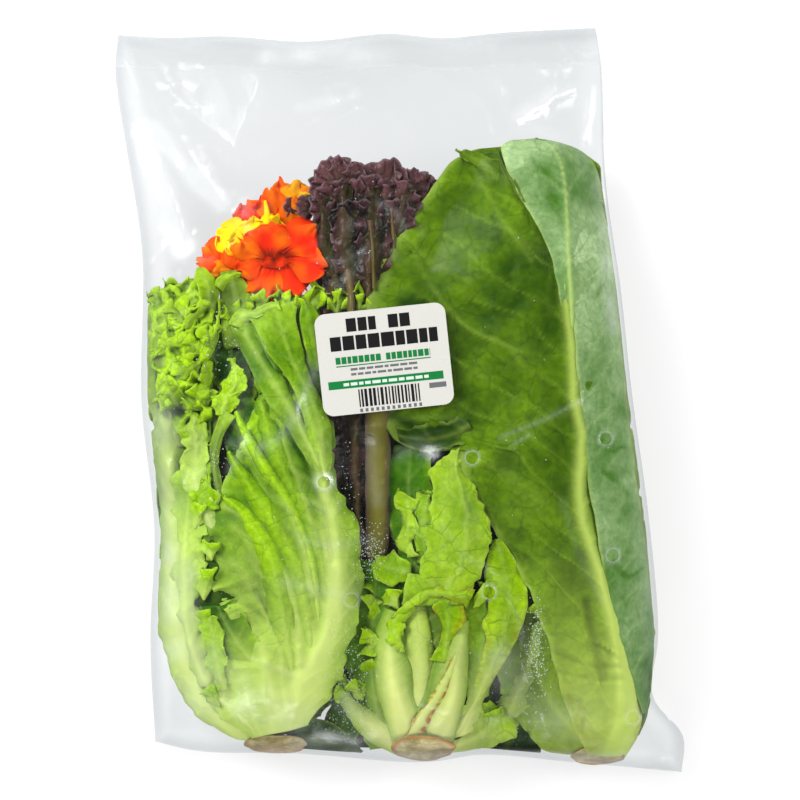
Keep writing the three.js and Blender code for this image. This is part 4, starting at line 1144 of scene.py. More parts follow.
def leaf_material(name, deep, fresh, pale, brown, net=0.35, net_size=7.0, shine=0.42, sheen_line="#C8E070",
                  gloss=0.06, through=0.5):
    """Fresh lettuce leaf: waxy skin over soft green flesh, with ribs that run from cream to green.

    The eye sees uneven green, a fine net of veins, a soft broad gloss and light that comes through the blade.
    """
    material, add = new_material(name)
    deep, fresh = linear(deep), linear(fresh)
    place = add("TexCoord", give="Object")
    paleness, young, browned, rim_line = [add("Attribute", give="Fac", attribute_name=m) for m in Piece.MARKS]
    patches = add("TexNoise", {"Vector": place, "Scale": per_mm(16), "Detail": 3.0, "Roughness": 0.55})
    mottle = add("TexNoise", {"Vector": place, "Scale": per_mm(3.0), "Detail": 4.0, "Roughness": 0.6})
    # The net of veins: wide meshes and threads between them, both bent a little
    sway = add("TexNoise", {"Vector": place, "Scale": per_mm(9), "Detail": 2.0}, "Color")
    offset = add("VectorMath", {0: sway, "Scale": 5 * MM}, operation="SCALE")
    bent = add("VectorMath", {0: place, 1: offset}, operation="ADD")
    cells, fine = [add("TexVoronoi", {"Vector": bent, "Scale": per_mm(size)}, feature="DISTANCE_TO_EDGE")
                   for size in (net_size, net_size / 3.2)]
    line = add("MapRange", {0: cells, 2: 0.045, 3: 1.0, 4: 0.0})
    thread = add("MapRange", {0: fine, 2: 0.12, 3: 1.0, 4: 0.0})
    shown = add("MapRange", {0: patches, 1: 0.38, 2: 0.60})
    # Green from deep to fresh, then mottle, net, pale ribs, a lighter colour at the rims and brown spots
    uneven = add("Math", {0: patches, 1: 0.5}, operation="SUBTRACT")
    share = add("Math", {0: uneven, 1: 0.8, 2: young}, operation="MULTIPLY_ADD")
    green = add("Mix", {0: share, 6: deep, 7: fresh}, **COLOURS)
    share = add("MapRange", {0: mottle, 1: 0.35, 2: 0.75, 4: 0.45})
    green = add("Mix", {0: share, 6: green, 7: deep}, blend_type="MULTIPLY", **COLOURS)
    share = add("Math", {0: line, 1: shown}, operation="MULTIPLY")
    share = add("Math", {0: share, 1: net}, operation="MULTIPLY")
    green = add("Mix", {0: share, 6: green, 7: deep}, **COLOURS)
    share = add("Math", {0: thread, 1: 0.16}, operation="MULTIPLY")
    green = add("Mix", {0: share, 6: green, 7: deep}, **COLOURS)
    skin = add("Mix", {0: paleness, 6: green, 7: linear(pale)}, **COLOURS)
    # Rims are mixed towards the sheen colour: partly a paler margin, partly painted sheen
    share = add("Math", {0: rim_line, 1: 0.3}, operation="MULTIPLY")
    skin = add("Mix", {0: share, 6: skin, 7: linear(sheen_line)}, **COLOURS)
    spots = add("MapRange", {0: mottle, 1: 0.40, 2: 0.58})
    share = add("Math", {0: browned, 1: spots}, operation="MULTIPLY")
    skin = add("Mix", {0: share, 6: skin, 7: linear(brown)}, **COLOURS)
    # Blisters between the veins, weaker on the pale ribs
    blisters = add("TexNoise", {"Vector": bent, "Scale": per_mm(7), "Detail": 2.0, "Roughness": 0.5})
    relief = add("Math", {0: line, 1: -0.14, 2: blisters}, operation="MULTIPLY_ADD")
    relief = add("Math", {0: mottle, 1: 0.25, 2: relief}, operation="MULTIPLY_ADD")
    flesh = add("Math", {0: 1.0, 1: paleness}, operation="SUBTRACT")
    strength = add("Math", {0: flesh, 1: 0.35, 2: 0.15}, operation="MULTIPLY_ADD")
    bump = add("Bump", {"Height": relief, "Strength": strength, "Distance": 2.0 * MM})
    wax = add("MapRange", {0: patches, 1: 0.3, 2: 0.7, 3: shine - 0.08, 4: shine + 0.12})
    surface = add("BsdfPrincipled", {"Base Color": skin, "Roughness": wax, "Normal": bump, "IOR": 1.42,
                                     "Specular IOR Level": gloss})
    lit = add("Mix", {0: through, 6: skin, 7: fresh}, **COLOURS)
    glow = add("BsdfTranslucent", {"Color": lit, "Normal": bump})
    add("OutputMaterial", {"Surface": add("MixShader", {0: 0.22, 1: surface, 2: glow})})
    return material


def petal_material():
    """Nasturtium petal: thin, velvety and saturated, with fine darker lines that run down into the throat."""
    material, add = new_material("nasturtium_petal")
    place = add("TexCoord", give="Object")
    red, yellow, dark, _ = [add("Attribute", give="Fac", attribute_name=m) for m in Piece.MARKS]
    soft = add("TexNoise", {"Vector": place, "Scale": per_mm(6), "Detail": 3.0})
    grain = add("TexNoise", {"Vector": place, "Scale": per_mm(0.9), "Detail": 2.0})
    orange = add("Mix", {0: red, 6: linear("#FF8A00"), 7: linear("#FA3000")}, **COLOURS)
    share = add("MapRange", {0: soft, 1: 0.4, 2: 0.7, 4: 0.5})
    orange = add("Mix", {0: share, 6: orange, 7: linear("#E02800")}, **COLOURS)
    colour = add("Mix", {0: yellow, 6: orange, 7: linear("#FFE800")}, **COLOURS)
    colour = add("Mix", {0: dark, 6: colour, 7: linear("#6E1404")}, **COLOURS)
    bump = add("Bump", {"Height": grain, "Strength": 0.3, "Distance": 0.3 * MM})
    surface = add("BsdfPrincipled", {"Base Color": colour, "Normal": bump, "Roughness": 0.6, "IOR": 1.4,
                                     "Specular IOR Level": 0.12})
    glow = add("BsdfTranslucent", {"Color": colour})
    add("OutputMaterial", {"Surface": add("MixShader", {0: 0.3, 1: surface, 2: glow})})
    return material


def film_material(name, tint):
    """Blown polypropylene film: nearly clear, with a faint milky haze and sharp broad reflections.

    It is a clear sheet with a thin share of glossy white over it, and more of it where it is seen edge on.
    """
    material, add = new_material(name)
    place = add("TexCoord", give="Object")
    milky, _, _, edge = [add("Attribute", give="Fac", attribute_name=m) for m in Piece.MARKS]
    ripple = add("TexNoise", {"Vector": place, "Scale": per_mm(14), "Detail": 5.0, "Roughness": 0.55})
    bump = add("Bump", {"Height": ripple, "Strength": 0.45, "Distance": 2.0 * MM})
    cloud = add("TexNoise", {"Vector": place, "Scale": per_mm(30), "Detail": 4.0})
    fog = add("MapRange", {0: cloud, 1: 0.45, 2: 0.7})
    fog = add("Math", {0: fog, 1: 0.005}, operation="MULTIPLY")
    # The pale mark adds glossy white: real haze, damp and stress whitening, and painted reflections and
    # highlights
    milk_and_glare = add("Math", {0: milky, 1: 0.40}, operation="MULTIPLY")
    fog = add("Math", {0: fog, 1: milk_and_glare}, operation="ADD")
    edge_on = add("Fresnel", {"Normal": bump, "IOR": 1.5})
    # Less the 0.0096 that Fresnel gives a film seen flat on
    share = add("Math", {0: edge_on, 1: 0.24, 2: 0.005 - 0.0096}, operation="MULTIPLY_ADD")
    share = add("Math", {0: share, 1: fog}, operation="ADD")
    seen = add("Mix", {0: edge, 6: linear(tint), 7: linear("#D9DCDE")}, **COLOURS)
    through = add("BsdfTransparent", {"Color": seen})
    gloss = add("BsdfPrincipled", {"Normal": bump, "Base Color": linear("#F2F5F6"), "Metallic": 0.35,
                                   "Roughness": 0.20})
    add("OutputMaterial", {"Surface": add("MixShader", {0: share, 1: through, 2: gloss})})
    return material


# The film


FILM_WIDE, FILM_TALL = 250, 345  # about how wide and tall the sheet is
FILM_STEP = 1.45  # mm between the front sheet's points
HEM_DEPTH = 18


def rim():
    """The closed line where the front and back films meet, from its lower left corner and to the right."""
    co = np.array([v.co[:] for v in solid.vertices]) / MM
    beside, heights = {}, {}
    for face in solid.polygons:
        if abs(face.normal.z) > 0.02:
            continue
        keys = [tuple(np.round(co[i][:2], 2)) for i in face.vertices]
        for key, i in zip(keys, face.vertices):
            heights.setdefault(key, []).append(co[i][2])
        for a, b in zip(keys, keys[1:] + keys[:1]):
            if a != b:
                beside.setdefault(a, set()).add(b)
                beside.setdefault(b, set()).add(a)
    start = min(beside, key=lambda p: p[0] + p[1])
    loop, seen = [start], {start}
    here = max(beside[start], key=lambda p: p[0] - p[1])
    while here is not None:
        loop.append(here)
        seen.add(here)
        here = next((p for p in sorted(beside[here]) if p not in seen), None)
    return np.array([[*p, np.mean(heights[p])] for p in loop + [start]])


class Film:
    """The sheet between the bag's four edges, as a patch that u runs across and v runs up."""

    def __init__(self):
        loop = rim()
        low, high = loop[:, :2].min(0), loop[:, :2].max(0)
        wanted = [low, (high[0], low[1]), high, (low[0], high[1])]
        corners = [int(np.argmin(np.linalg.norm(loop[:-1, :2] - w, axis=1))) for w in wanted]
        corners.append(len(loop) - 1)
        sides = [loop[a : b + 1] for a, b in zip(corners, corners[1:])]
        self.bottom, self.right, self.top, self.left = sides[0], sides[1], sides[2][::-1], sides[3][::-1]

    @staticmethod
    def read(side, t):
        run = np.concatenate([[0], np.cumsum(np.linalg.norm(np.diff(side, axis=0), axis=1))])
        return np.stack([np.interp(t * run[-1], run, side[:, k]) for k in range(3)], -1)

    def points(self, u, v):
        """Places on the patch for a row of u and a row of v, and how far each is from the nearest edge."""
        low, high = self.read(self.bottom, u)[None], self.read(self.top, u)[None]
        left, right = self.read(self.left, v)[:, None], self.read(self.right, v)[:, None]
        U, V = u[None, :, None], v[:, None, None]
        across = (1 - V) * low + V * high
        up = (1 - U) * left + U * right
        corner = (1 - U) * (1 - V) * low[:, :1] + U * (1 - V) * low[:, -1:]
        corner = corner + (1 - U) * V * high[:, :1] + U * V * high[:, -1:]
        from_side = np.minimum(u, 1 - u)[None, :] * FILM_WIDE
        from_end = np.minimum(v, 1 - v)[:, None] * FILM_TALL
        inward = np.minimum(from_side, from_end)
        return across + up - corner, inward


# The upper outline of what is packed, in pixels: above it the film is empty
PACKED_TOP = "90,300 150,285 200,255 235,205 285,178 330,158 430,172 460,146 520,134 590,152 606,240 640,420"

# Folds of the film: pixels, rise, half width and how milky the film is along it, a whiteness that is partly
# stress whitening and partly painted highlight
FOLDS = [
    ("126,62 150,130 172,200 192,268", 2.6, 4.0, 0.10),
    ("126,60 165,120 205,175 240,222", 2.6, 4.5, 0.12),
    ("130,50 200,120 262,168 310,196", 1.6, 3.0, 0.04),
    ("312,130 340,108 370,90", 1.2, 1.6, 0.10),
    ("272,47 258,90 242,130 229,166", 1.4, 2.2, 0.06),
    ("191,107 200,108 210,112", 0.8, 0.9, 0.35),
    ("505,120 498,84 491,47", 1.5, 1.8, 0.12),
    ("515,123 545,104 578,86", 2.4, 3.0, 0.25),
    ("515,123 540,132 559,138", 1.6, 2.6, 0.25),
    ("591,80 588,115 583,146", 1.6, 2.0, 0.15),
    ("430,60 440,110 452,146", 1.2, 2.6, 0.03),
    ("350,60 360,110 372,160", 0.9, 3.4, 0.02),
    ("560,60 552,96 540,130", 1.4, 2.0, 0.08),
    ("612,300 640,420 652,560", 0.8, 3.0, 0.10),
    ("625,700 655,725 682,765", 2.0, 2.6, 0.10),
    ("620,735 650,745 684,752", 1.6, 2.0, 0.08),
    ("200,700 175,725 156,742", 1.8, 2.6, 0.10),
    ("240,740 200,745 160,738", 1.2, 2.0, 0.08),
    ("330,742 345,752 362,758", 0.8, 1.2, 0.10),
    ("146,420 156,520 165,640", 1.2, 2.6, 0.12),
]
# Fine creases in the film, over the leaves and in the empty top; their whiteness is partly stress whitening
# and partly painted highlight
CREASES = [
    ("300,60 330,66 362,62", 0.5, 0.8, 0.2), ("176,108 198,114", 0.5, 0.7, 0.3),
    ("338,122 350,114 364,110", 0.5, 0.7, 0.3),
    ("252,66 262,94 256,120", 0.5, 0.9, 0.15), ("414,78 446,70 478,74", 0.5, 0.8, 0.2),
    ("330,90 352,84", 0.4, 0.6, 0.3),
    ("158,92 180,84 196,90", 0.5, 0.8, 0.2), ("222,132 236,150 240,172", 0.5, 0.9, 0.18),
    ("530,66 552,74 574,68", 0.6, 0.8, 0.25),
    ("470,96 486,112 490,132", 0.5, 0.8, 0.18), ("384,110 398,126 402,148", 0.4, 0.8, 0.12),
    ("560,44 572,60 590,66", 0.7, 0.8, 0.3), ("574,48 588,56 596,50", 0.7, 0.7, 0.3),
    ("579,401 540,420 499,437", 0.5, 0.7, 0.28), ("528,434 510,444", 0.4, 0.6, 0.3),
    ("286,580 310,585 350,594", 0.5, 2.4, 0.28), ("306,538 332,545 362,540", 0.5, 2.2, 0.24),
    ("310,500 330,512 345,500", 0.4, 0.9, 0.14), ("255,655 276,664 294,673", 0.4, 0.8, 0.22),
    ("205,690 215,708", 0.4, 0.8, 0.25), ("340,600 352,604 360,596", 0.4, 0.6, 0.2),
    ("380,205 395,214 405,230", 0.5, 0.9, 0.25), ("320,262 345,262 362,254", 0.6, 1.6, 0.12),
    ("345,284 358,270 366,250", 0.6, 1.2, 0.12), ("480,560 510,600 530,660", 0.5, 1.2, 0.12),
    ("440,520 470,560 505,580", 0.4, 1.0, 0.1), ("560,500 580,560 600,600", 0.4, 1.2, 0.1),
    ("262,448 288,430 316,372", 0.5, 2.4, 0.28), ("232,470 250,440", 0.4, 1.4, 0.2),
    ("420,700 470,718 520,712", 0.5, 1.4, 0.14), ("530,700 560,730 600,742", 0.5, 1.2, 0.14),
]
# Where the film stands off the leaves or is damp, and looks milky, and painted reflections of the softboxes
# in the empty top
HAZE_AND_PAINTED_GLARE = [
    ("160,420 166,540 176,640 205,705", 0, 8.0, 0.34), ("190,560 196,640 216,700", 0, 4.0, 0.25),
    ("210,660 250,700 300,715", 0, 9.0, 0.22), ("640,330 652,470 655,640", 0, 5.0, 0.25),
    ("500,660 530,700 560,720", 0, 8.0, 0.28), ("600,180 606,260 612,330", 0, 3.4, 0.35),
    ("346,700 380,730 440,730", 0, 6.0, 0.18), ("296,744 330,738 356,746", 0, 4.0, 0.3),
    ("372,440 374,480 378,500", 0, 3.0, 0.15),
    # Painted reflections: white bands down the upper left, over the upper right and across the top
    ("143,132 156,172 172,218 184,248", 0, 4.4, 1.9), ("154,132 178,158 202,184 222,204", 0, 3.8, 1.9),
    ("520,120 545,100 570,92", 0, 4.5, 0.8), ("592,96 588,120 584,144", 0, 2.0, 0.6),
    ("300,110 330,104 356,96", 0, 3.0, 0.45), ("270,60 330,56 380,62", 0, 5.0, 0.25),
    ("322,480 328,482", 0, 2.6, 1.0), ("400,455 418,446 432,452", 0, 3.0, 0.2),
]
VENTS = "325,481 471,457 603,438 352,598 488,590 610,553 631,715"
VENT_RADIUS = 2.9
LABEL_LOW, LABEL_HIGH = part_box("label")


def film_relief(x, y):
    """How far folds and crinkles lift the film off its smooth form, and how milky it is there; that whiteness
    also holds painted reflections and highlights.
    """
    top_line = at(PACKED_TOP)
    free = ease(y - np.interp(x, top_line[:, 0], top_line[:, 1]), -4, 12)
    side = 0.6 * ease(np.abs(x - 2), 100, 118)
    loose = np.maximum(free, side)
    folds, milk_and_glare = strokes(x, y, FOLDS, sharp=True)
    creases, marks = strokes(x, y, CREASES, sharp=True)
    haze = strokes(x, y, HAZE_AND_PAINTED_GLARE)[1] * (1 + 0.5 * noise(x, y, 9, 60))
    slant = x + 0.6 * y
    crumple = 1.1 * rough_noise(slant, y, 34, 44) + 0.25 * rough_noise(slant, x, 9, 47)
    crinkle = 0.30 * rough_noise(x, y, 13, 40) + loose * crumple
    lift = (0.25 + 0.75 * loose) * folds + creases + crinkle + 0.3
    # The film lies flat under the label
    inside = 1.0
    for place, low, high in zip((x, y), LABEL_LOW, LABEL_HIGH):
        inside = inside * ease(place, low / MM - 6, low / MM) * ease(-place, -high / MM - 6, -high / MM)
    lift = np.where(inside > 0, lift * (1 - inside) - 0.25 * inside, lift)
    return lift, np.maximum(np.maximum(milk_and_glare, marks), haze) + 0.10 * side


def film_front(film):
    piece = Piece()
    u, v = [np.linspace(0, 1, int(size / FILM_STEP)) for size in (FILM_WIDE, FILM_TALL)]
    points, inward = film.points(u, v)
    faces = squares(*inward.shape)
    flat = points.reshape(-1, 3)
    ring = np.zeros(len(flat))
    # Each vent is a round hole: its faces go, and the edge that they leave is drawn onto a circle
    for centre in at(VENTS):
        middle = flat[faces][:, :, :2].mean(1)
        gone = np.hypot(*(middle - centre).T) < VENT_RADIUS
        edge = np.intersect1d(faces[gone], faces[~gone])
        faces = faces[~gone]
        away = flat[edge, :2] - centre
        flat[edge, :2] = centre + VENT_RADIUS * away / np.linalg.norm(away, axis=1)[:, None]
        ring = np.maximum(ring, np.exp(-(((np.hypot(*(flat[:, :2] - centre).T) - VENT_RADIUS) / 0.8) ** 2)))
    x, y = flat[:, 0], flat[:, 1]
    lift, milk_and_glare = film_relief(x, y)
    joined = ease(inward.ravel(), 0, 4)
    flat[:, 2] = (flat[:, 2] + 0.2) * (1 - joined) + (height("front", x, y) + lift + 0.25 * ring) * joined
    seam = 0.3 * np.exp(-((inward.ravel() / 0.9) ** 2)) + 0.25 * ease(-points[..., 1].ravel(), 163, 166)
    milk_and_glare = milk_and_glare * (1 - 0.8 * ease(-inward.ravel(), -9, -1)) + 0.5 * ring + seam
    piece.add(flat, faces, pale=np.clip(milk_and_glare, 0, 1), edge=0.75 * ease(-inward.ravel(), -9, 0))
    return piece


def film_back(film):
    piece = Piece()
    points, inward = film.points(np.linspace(0, 1, 84), np.linspace(0, 1, 116))
    x, y = points[..., 0], points[..., 1]
    joined = ease(inward, 0, 4)
    z = (points[..., 2] - 0.2) * (1 - joined) + height("back", x, y) * joined
    points[..., 2] = np.maximum(z, OFF_FLOOR)
    piece.add_grid(points)
    return piece


def hem(film):
    """The top of the bag, folded over to the front and glued down, as a second layer of film."""
    piece = Piece()
    u, v = np.linspace(0, 1, 200), np.linspace(1 - HEM_DEPTH / FILM_TALL, 1, 18)
    points, inward = film.points(u, v)
    x, y = points[..., 0], points[..., 1]
    lift, milk_and_glare = film_relief(x, y)
    joined = ease(inward, 0, 4)
    down = np.linspace(1, 0, len(v))[:, None]
    glue = 0.35 * np.abs(noise(x, y, 3.5, 50)) * np.exp(-(((down - 0.75) / 0.16) ** 2))
    curl = 0.8 * down**3 * (1 + 0.6 * noise(x, 0 * y, 22, 52))
    z = (points[..., 2] + 0.35) * (1 - joined) + (height("front", x, y) + lift + 0.3) * joined
    points[..., 2] = z + glue + curl
    milk_and_glare = milk_and_glare + 0.25 * np.exp(-(((down - 0.97) / 0.05) ** 2)) + 0.25 * glue
    piece.add_grid(points, pale=np.clip(milk_and_glare, 0, 1))
    return piece


# The label


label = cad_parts["label"].data
label_tree = BVHTree.FromPolygons([v.co[:] for v in label.vertices], [p.vertices[:] for p in label.polygons])
LABEL_MIDDLE = (-7.3, 18.8)
LABEL_TURN = math.radians(6)
INK_LIFT = 0.06  # how far print stands off what it is printed on


def label_ink(marks):
    """Flat shapes printed on the label: left, lower, right and upper edges from the label's middle."""
    piece = Piece()
    for left, low, right, high in marks:
        columns = max(int((right - left) / 4), 2)
        x = np.linspace(left, right, columns)[None, :] + np.zeros((2, 1))
        y = np.array([[low], [high]]) + np.zeros((1, columns))
        turned_x = LABEL_MIDDLE[0] + x * math.cos(LABEL_TURN) - y * math.sin(LABEL_TURN)
        turned_y = LABEL_MIDDLE[1] + x * math.sin(LABEL_TURN) + y * math.cos(LABEL_TURN)
        z = np.zeros_like(x)
        for i in np.ndindex(z.shape):
            hit = label_tree.ray_cast(Vector((turned_x[i] * MM, turned_y[i] * MM, 1)), Vector((0, 0, -1)))[0]
            z[i] = hit.z / MM + INK_LIFT
        piece.add_grid(np.dstack([turned_x, turned_y, z]))
    return piece


def dashes(left, right, low, high, shortest, longest, gap):
    """A row of marks of uneven length, such as a line of small print seen from afar."""
    row = []
    while left < right:
        end = min(left + rng.uniform(shortest, longest), right)
        row.append((left, low, end, high))
        left = end + gap
    return row


# Two bold lines, a thin underlined one, small print, a broad band, a bar pattern and a small mark
BOLD_MARKS = dashes(-16, -2.2, 14.4, 20.6, 3.4, 4.8, 0.8) + dashes(3.6, 13.8, 14.4, 20.6, 3.8, 4.8, 0.8)
BOLD_MARKS += dashes(-24.2, 25.8, 6.0, 12.6, 3.6, 6.4, 0.8)
GREEN_MARKS = dashes(-22.5, -1.5, -0.2, 3.0, 1.6, 2.6, 0.5) + dashes(1.0, 21.5, -0.2, 3.0, 1.6, 2.6, 0.5)
GREEN_MARKS += [(-22.5, -1.5, 21.5, -1.0), (-27.0, -11.6, 26.5, -7.9)]
SMALL_MARKS = dashes(-16, 15, -3.6, -2.5, 1.5, 5, 0.7) + dashes(-16, 15, -5.9, -4.8, 1.5, 5, 0.7)
SMALL_MARKS += [(19.5, -15.4, 27.4, -13.0)] + dashes(-13.5, 16.5, -23.2, -21.6, 1.3, 1.3, 1.2)
PALE_MARKS = dashes(-20, 20, -10.5, -9.1, 1.5, 4, 0.8)


def bars():
    """A plain pattern of upright bars."""
    row, left = [], -13.5
    while left < 15.5:
        wide = rng.choice([0.6, 0.6, 0.9, 1.3])
        row.append((left, -20.8, left + wide, -12.6))
        left += wide + rng.choice([0.6, 0.8])
    return row


def plain_material(name, colour, roughness, **inputs):
    material, add = new_material(name)
    inputs = {key.replace("_", " "): value for key, value in inputs.items()}
    surface = add("BsdfPrincipled", {"Base Color": linear(colour), "Roughness": roughness, **inputs})
    add("OutputMaterial", {"Surface": surface})
    return material


def paper_material():
    """Coated label paper: off-white and half matt, with a very faint grain."""
    material, add = new_material("label_paper")
    place = add("TexCoord", give="Object")
    grain = add("TexNoise", {"Vector": place, "Scale": per_mm(0.5), "Detail": 3.0})
    cockle = add("TexNoise", {"Vector": place, "Scale": per_mm(18), "Detail": 1.0})
    share = add("MapRange", {0: grain, 1: 0.3, 2: 0.7})
    colour = add("Mix", {0: share, 6: linear("#BBBAB4"), 7: linear("#B4B3AC")}, **COLOURS)
    relief = add("Math", {0: grain, 1: 0.03, 2: cockle}, operation="MULTIPLY_ADD")
    bump = add("Bump", {"Height": relief, "Strength": 0.4, "Distance": 0.6 * MM})
    surface = add("BsdfPrincipled", {"Base Color": colour, "Normal": bump, "Roughness": 0.45})
    add("OutputMaterial", {"Surface": surface})
    return material


def drop_material():
    """Fine condensation: each drop gathers the studio's light and shows as a soft bright speck; its pale
    colour is partly mist and partly painted glint.
    """
    material, add = new_material("water_drops")
    through = add("BsdfTransparent", {"Color": linear("#F4F8F4")})
    gloss = add("BsdfPrincipled", {"Base Color": linear("#E4ECE4"), "Roughness": 0.3})
    add("OutputMaterial", {"Surface": add("MixShader", {0: 0.4, 1: through, 2: gloss})})
    return material


def cut_material():
    """Cut lettuce stem: wet tan pith with a rusty rim."""
    material, add = new_material("cut_stem")
    place = add("TexCoord", give="Object")
    rusty = add("Attribute", give="Fac", attribute_name="brown")
    fibres = add("TexNoise", {"Vector": place, "Scale": per_mm(1.6), "Detail": 4.0})
    blotches = add("TexNoise", {"Vector": place, "Scale": per_mm(7), "Detail": 3.0})
    share = add("MapRange", {0: blotches, 1: 0.35, 2: 0.65})
    colour = add("Mix", {0: share, 6: linear("#8A7A2A"), 7: linear("#D6C68C")}, **COLOURS)
    share = add("MapRange", {0: fibres, 1: 0.35, 2: 0.75, 4: 0.5})
    colour = add("Mix", {0: share, 6: colour, 7: linear("#6B5A1E")}, **COLOURS)
    colour = add("Mix", {0: rusty, 6: colour, 7: linear("#96602A")}, **COLOURS)
    bump = add("Bump", {"Height": fibres, "Strength": 0.6, "Distance": 0.6 * MM})
    surface = add("BsdfPrincipled", {"Base Color": colour, "Normal": bump, "Roughness": 0.4})
    add("OutputMaterial", {"Surface": surface})
    return material


materials = {
    # Very dark green for the cores and fillers: painted shade in the gaps between leaves
    "inner": leaf_material("inner_leaf_painted_shade", "#142C04", "#3E6A06", "#A4C060", "#8A5A20", net=0.3),
    "romaine": leaf_material("romaine_leaf", "#2A5000", "#8CB810", "#C8DC6C", "#A0622A",
                             net=0.42, net_size=12),
    "underside": leaf_material("romaine_underside", "#528626", "#CBE4AC", "#C8E070", "#A0622A",
                               net=0.35, net_size=10),
    "batavia": leaf_material("batavia_leaf", "#3C7400", "#B4E20A", "#DCEC88", "#8A5A20",
                             net=0.5, net_size=11),
    "frilly": leaf_material("frilly_leaf", "#1F4E04", "#BEEA14", "#DCEC98", "#8A5A20", net_size=9),
    "heart": leaf_material("heart_leaf", "#4C8600", "#B2D80A", "#E2EA90", "#A85A18", net=0.7, net_size=11),
    # The red leaf's grey-mauve fresh colour, used on its upper lobes and rims, and its sheen colour are
    # painted sheen
    "red": leaf_material("red_leaf", "#0A0303", "#704448", "#7E7A2C", "#301810", net=0.1, shine=0.24,
                         sheen_line="#A498A0", gloss=0.22, through=0.1),
    "petal": petal_material(),
    "film": film_material("polypropylene_film", "#FAFBFB"),
    "film_behind": film_material("polypropylene_film_behind", "#F3F4F5"),
    "drops": drop_material(),
    "cut": cut_material(),
    "paper": paper_material(),
    # Dense printing ink, a little glossier than the paper
    "black": plain_material("black_ink", "#08080A", 0.5, Specular_IOR_Level=0.2),
    "green": plain_material("green_ink", "#04682F", 0.5, Specular_IOR_Level=0.2),
    "grey": plain_material("grey_ink", "#55585A", 0.45),
    "white": plain_material("white_ink", "#B9C8BE", 0.45),
}

LEAF = 0.45  # thickness of a leaf's blade
film = Film()
front = film_front(film).build("film_front", materials["film"], "film")
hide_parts("bag")
film_back(film).build("film_back", materials["film_behind"], "film")
hem(film).build("hem", materials["film"], "film")
head_bodies().build("head_bodies", materials["inner"], "green_leaf")
back_leaf("588,750 556,700 540,640 515,570 470,480 410,430 380,350 384,290 424,215 486,160",
          "624,750 642,700 650,640 646,560 634,470 622,390 614,320 607,250 600,195 560,150", ROMAINE,
          [0.8, 0.5, 0.35, 0.35], 410).build("romaine_back", materials["romaine"], "green_leaf", LEAF)
back_leaf("252,738 200,700 172,640 162,560 157,470 152,390 152,310",
          "304,730 344,690 358,620 360,540 350,450 334,370 312,306", BATAVIA, [0.7, 0.5, 0.35, 0.5],
          411).build("batavia_back", materials["batavia"], "green_leaf", LEAF)
back_leaf("404,748 368,716 350,660 360,600 384,530 408,470",
          "444,748 496,716 520,650 524,590 506,530 470,462", BATAVIA, [0.6, 0.5, 0.4],
          412).build("heart_back", materials["heart"], "green_leaf", LEAF)
back_leaf("350,460 334,400 322,330 314,260 318,200", "392,460 394,400 398,330 410,260 420,200", RED_FOLD,
          [0.3, 0.1, 0.2], 413).build("red_back", materials["red"], "red_leaf", LEAF)
filler_leaves().build("filler_leaves", materials["inner"], "green_leaf", LEAF)
romaine_underside().build("romaine_underside", materials["underside"], "green_leaf", LEAF)
romaine_leaves().build("romaine_leaves", materials["romaine"], "green_leaf", LEAF)
batavia_leaves().build("batavia_leaves", materials["batavia"], "green_leaf", LEAF)
frilly_leaves().build("frilly_leaves", materials["frilly"], "green_leaf", LEAF)
heart_leaves().build("heart_leaves", materials["heart"], "green_leaf", LEAF)
cut_ends().build("cut_ends", materials["cut"], "green_leaf", 0.6)
red_leaves().build("red_leaves", materials["red"], "red_leaf", LEAF)
flower_petals().build("flower_petals", materials["petal"], "petal", 0.3)
water_drops().build("water_drops", materials["drops"], "film")
label.materials.clear()
label.materials.append(materials["paper"])
for name, ink, marks in (
    ("bold_print", "black", BOLD_MARKS), ("green_print", "green", GREEN_MARKS),
    ("small_print", "grey", SMALL_MARKS),
    ("band_print", "white", PALE_MARKS), ("bar_print", "black", bars()),
):
    shapes = label_ink(marks)
    if name == "band_print":
        # It lies on the green band
        shapes.points = [p + (0, 0, 0.05) for p in shapes.points]
    shapes.build(name, materials[ink], "label")


# Floor, light and camera


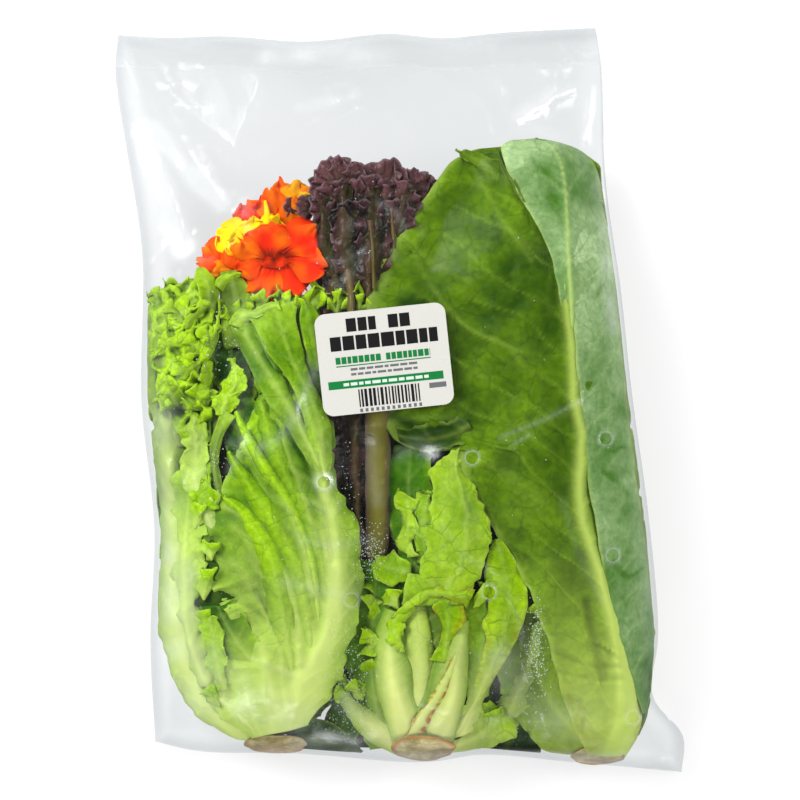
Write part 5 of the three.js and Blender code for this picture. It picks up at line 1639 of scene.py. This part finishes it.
def add_light(name, place, size, power, colour="#FFFFFF"):
    """A square softbox that faces the bag's middle."""
    light = bpy.data.lights.new(name, "AREA")
    light.shape = "RECTANGLE"
    light.size, light.size_y = size
    light.energy = power
    light.color = linear(colour)[:3]
    obj = bpy.data.objects.new(name, light)
    obj.location = place
    obj.rotation_euler = (-Vector(place)).to_track_quat("-Z", "Y").to_euler()
    bpy.context.scene.collection.objects.link(obj)


def studio():
    floor_mesh = bpy.data.meshes.new("floor")
    reach = 3.0  # metres from the middle to the floor's edge
    corners = [(-reach, -reach, 0), (reach, -reach, 0), (reach, reach, 0), (-reach, reach, 0)]
    floor_mesh.from_pydata(corners, [], [(0, 1, 2, 3)])
    floor = bpy.data.objects.new("floor", floor_mesh)
    bpy.context.scene.collection.objects.link(floor)
    material, add = new_material("white_floor")
    surface = add("BsdfPrincipled", {"Base Color": linear("#8E8E8E"), "Roughness": 0.9,
                                     "Specular IOR Level": 0.1, "Emission Color": linear("#FFFFFF"),
                                     "Emission Strength": 0.68})
    add("OutputMaterial", {"Surface": surface})
    floor_mesh.materials.append(material)

    # Metres and watts
    add_light("key", (-1.5, 1.2, 1.35), (1.3, 1.0), 78)
    add_light("fill", (1.6, 0.5, 1.3), (0.9, 1.2), 30)
    add_light("low", (-0.2, -1.7, 1.2), (1.4, 0.7), 20)
    world = bpy.data.worlds.new("studio")
    world.use_nodes = True
    bpy.context.scene.world = world
    background = world.node_tree.nodes["Background"]
    background.inputs["Color"].default_value = linear("#FAFBFC")
    background.inputs["Strength"].default_value = 0.36

    camera = bpy.data.cameras.new("camera")
    level = 0.012  # metres above the floor, where the photograph's scale holds
    distance = 3.2  # metres from there up to the lens
    covered = 2 * PHOTO_MIDDLE * PHOTO_SCALE * MM
    camera.lens = camera.sensor_width * distance / covered
    obj = bpy.data.objects.new("camera", camera)
    obj.location = (0, 0, distance + level)
    bpy.context.scene.collection.objects.link(obj)
    bpy.context.scene.camera = obj
    bpy.context.scene.view_settings.view_transform = "Standard"


studio()
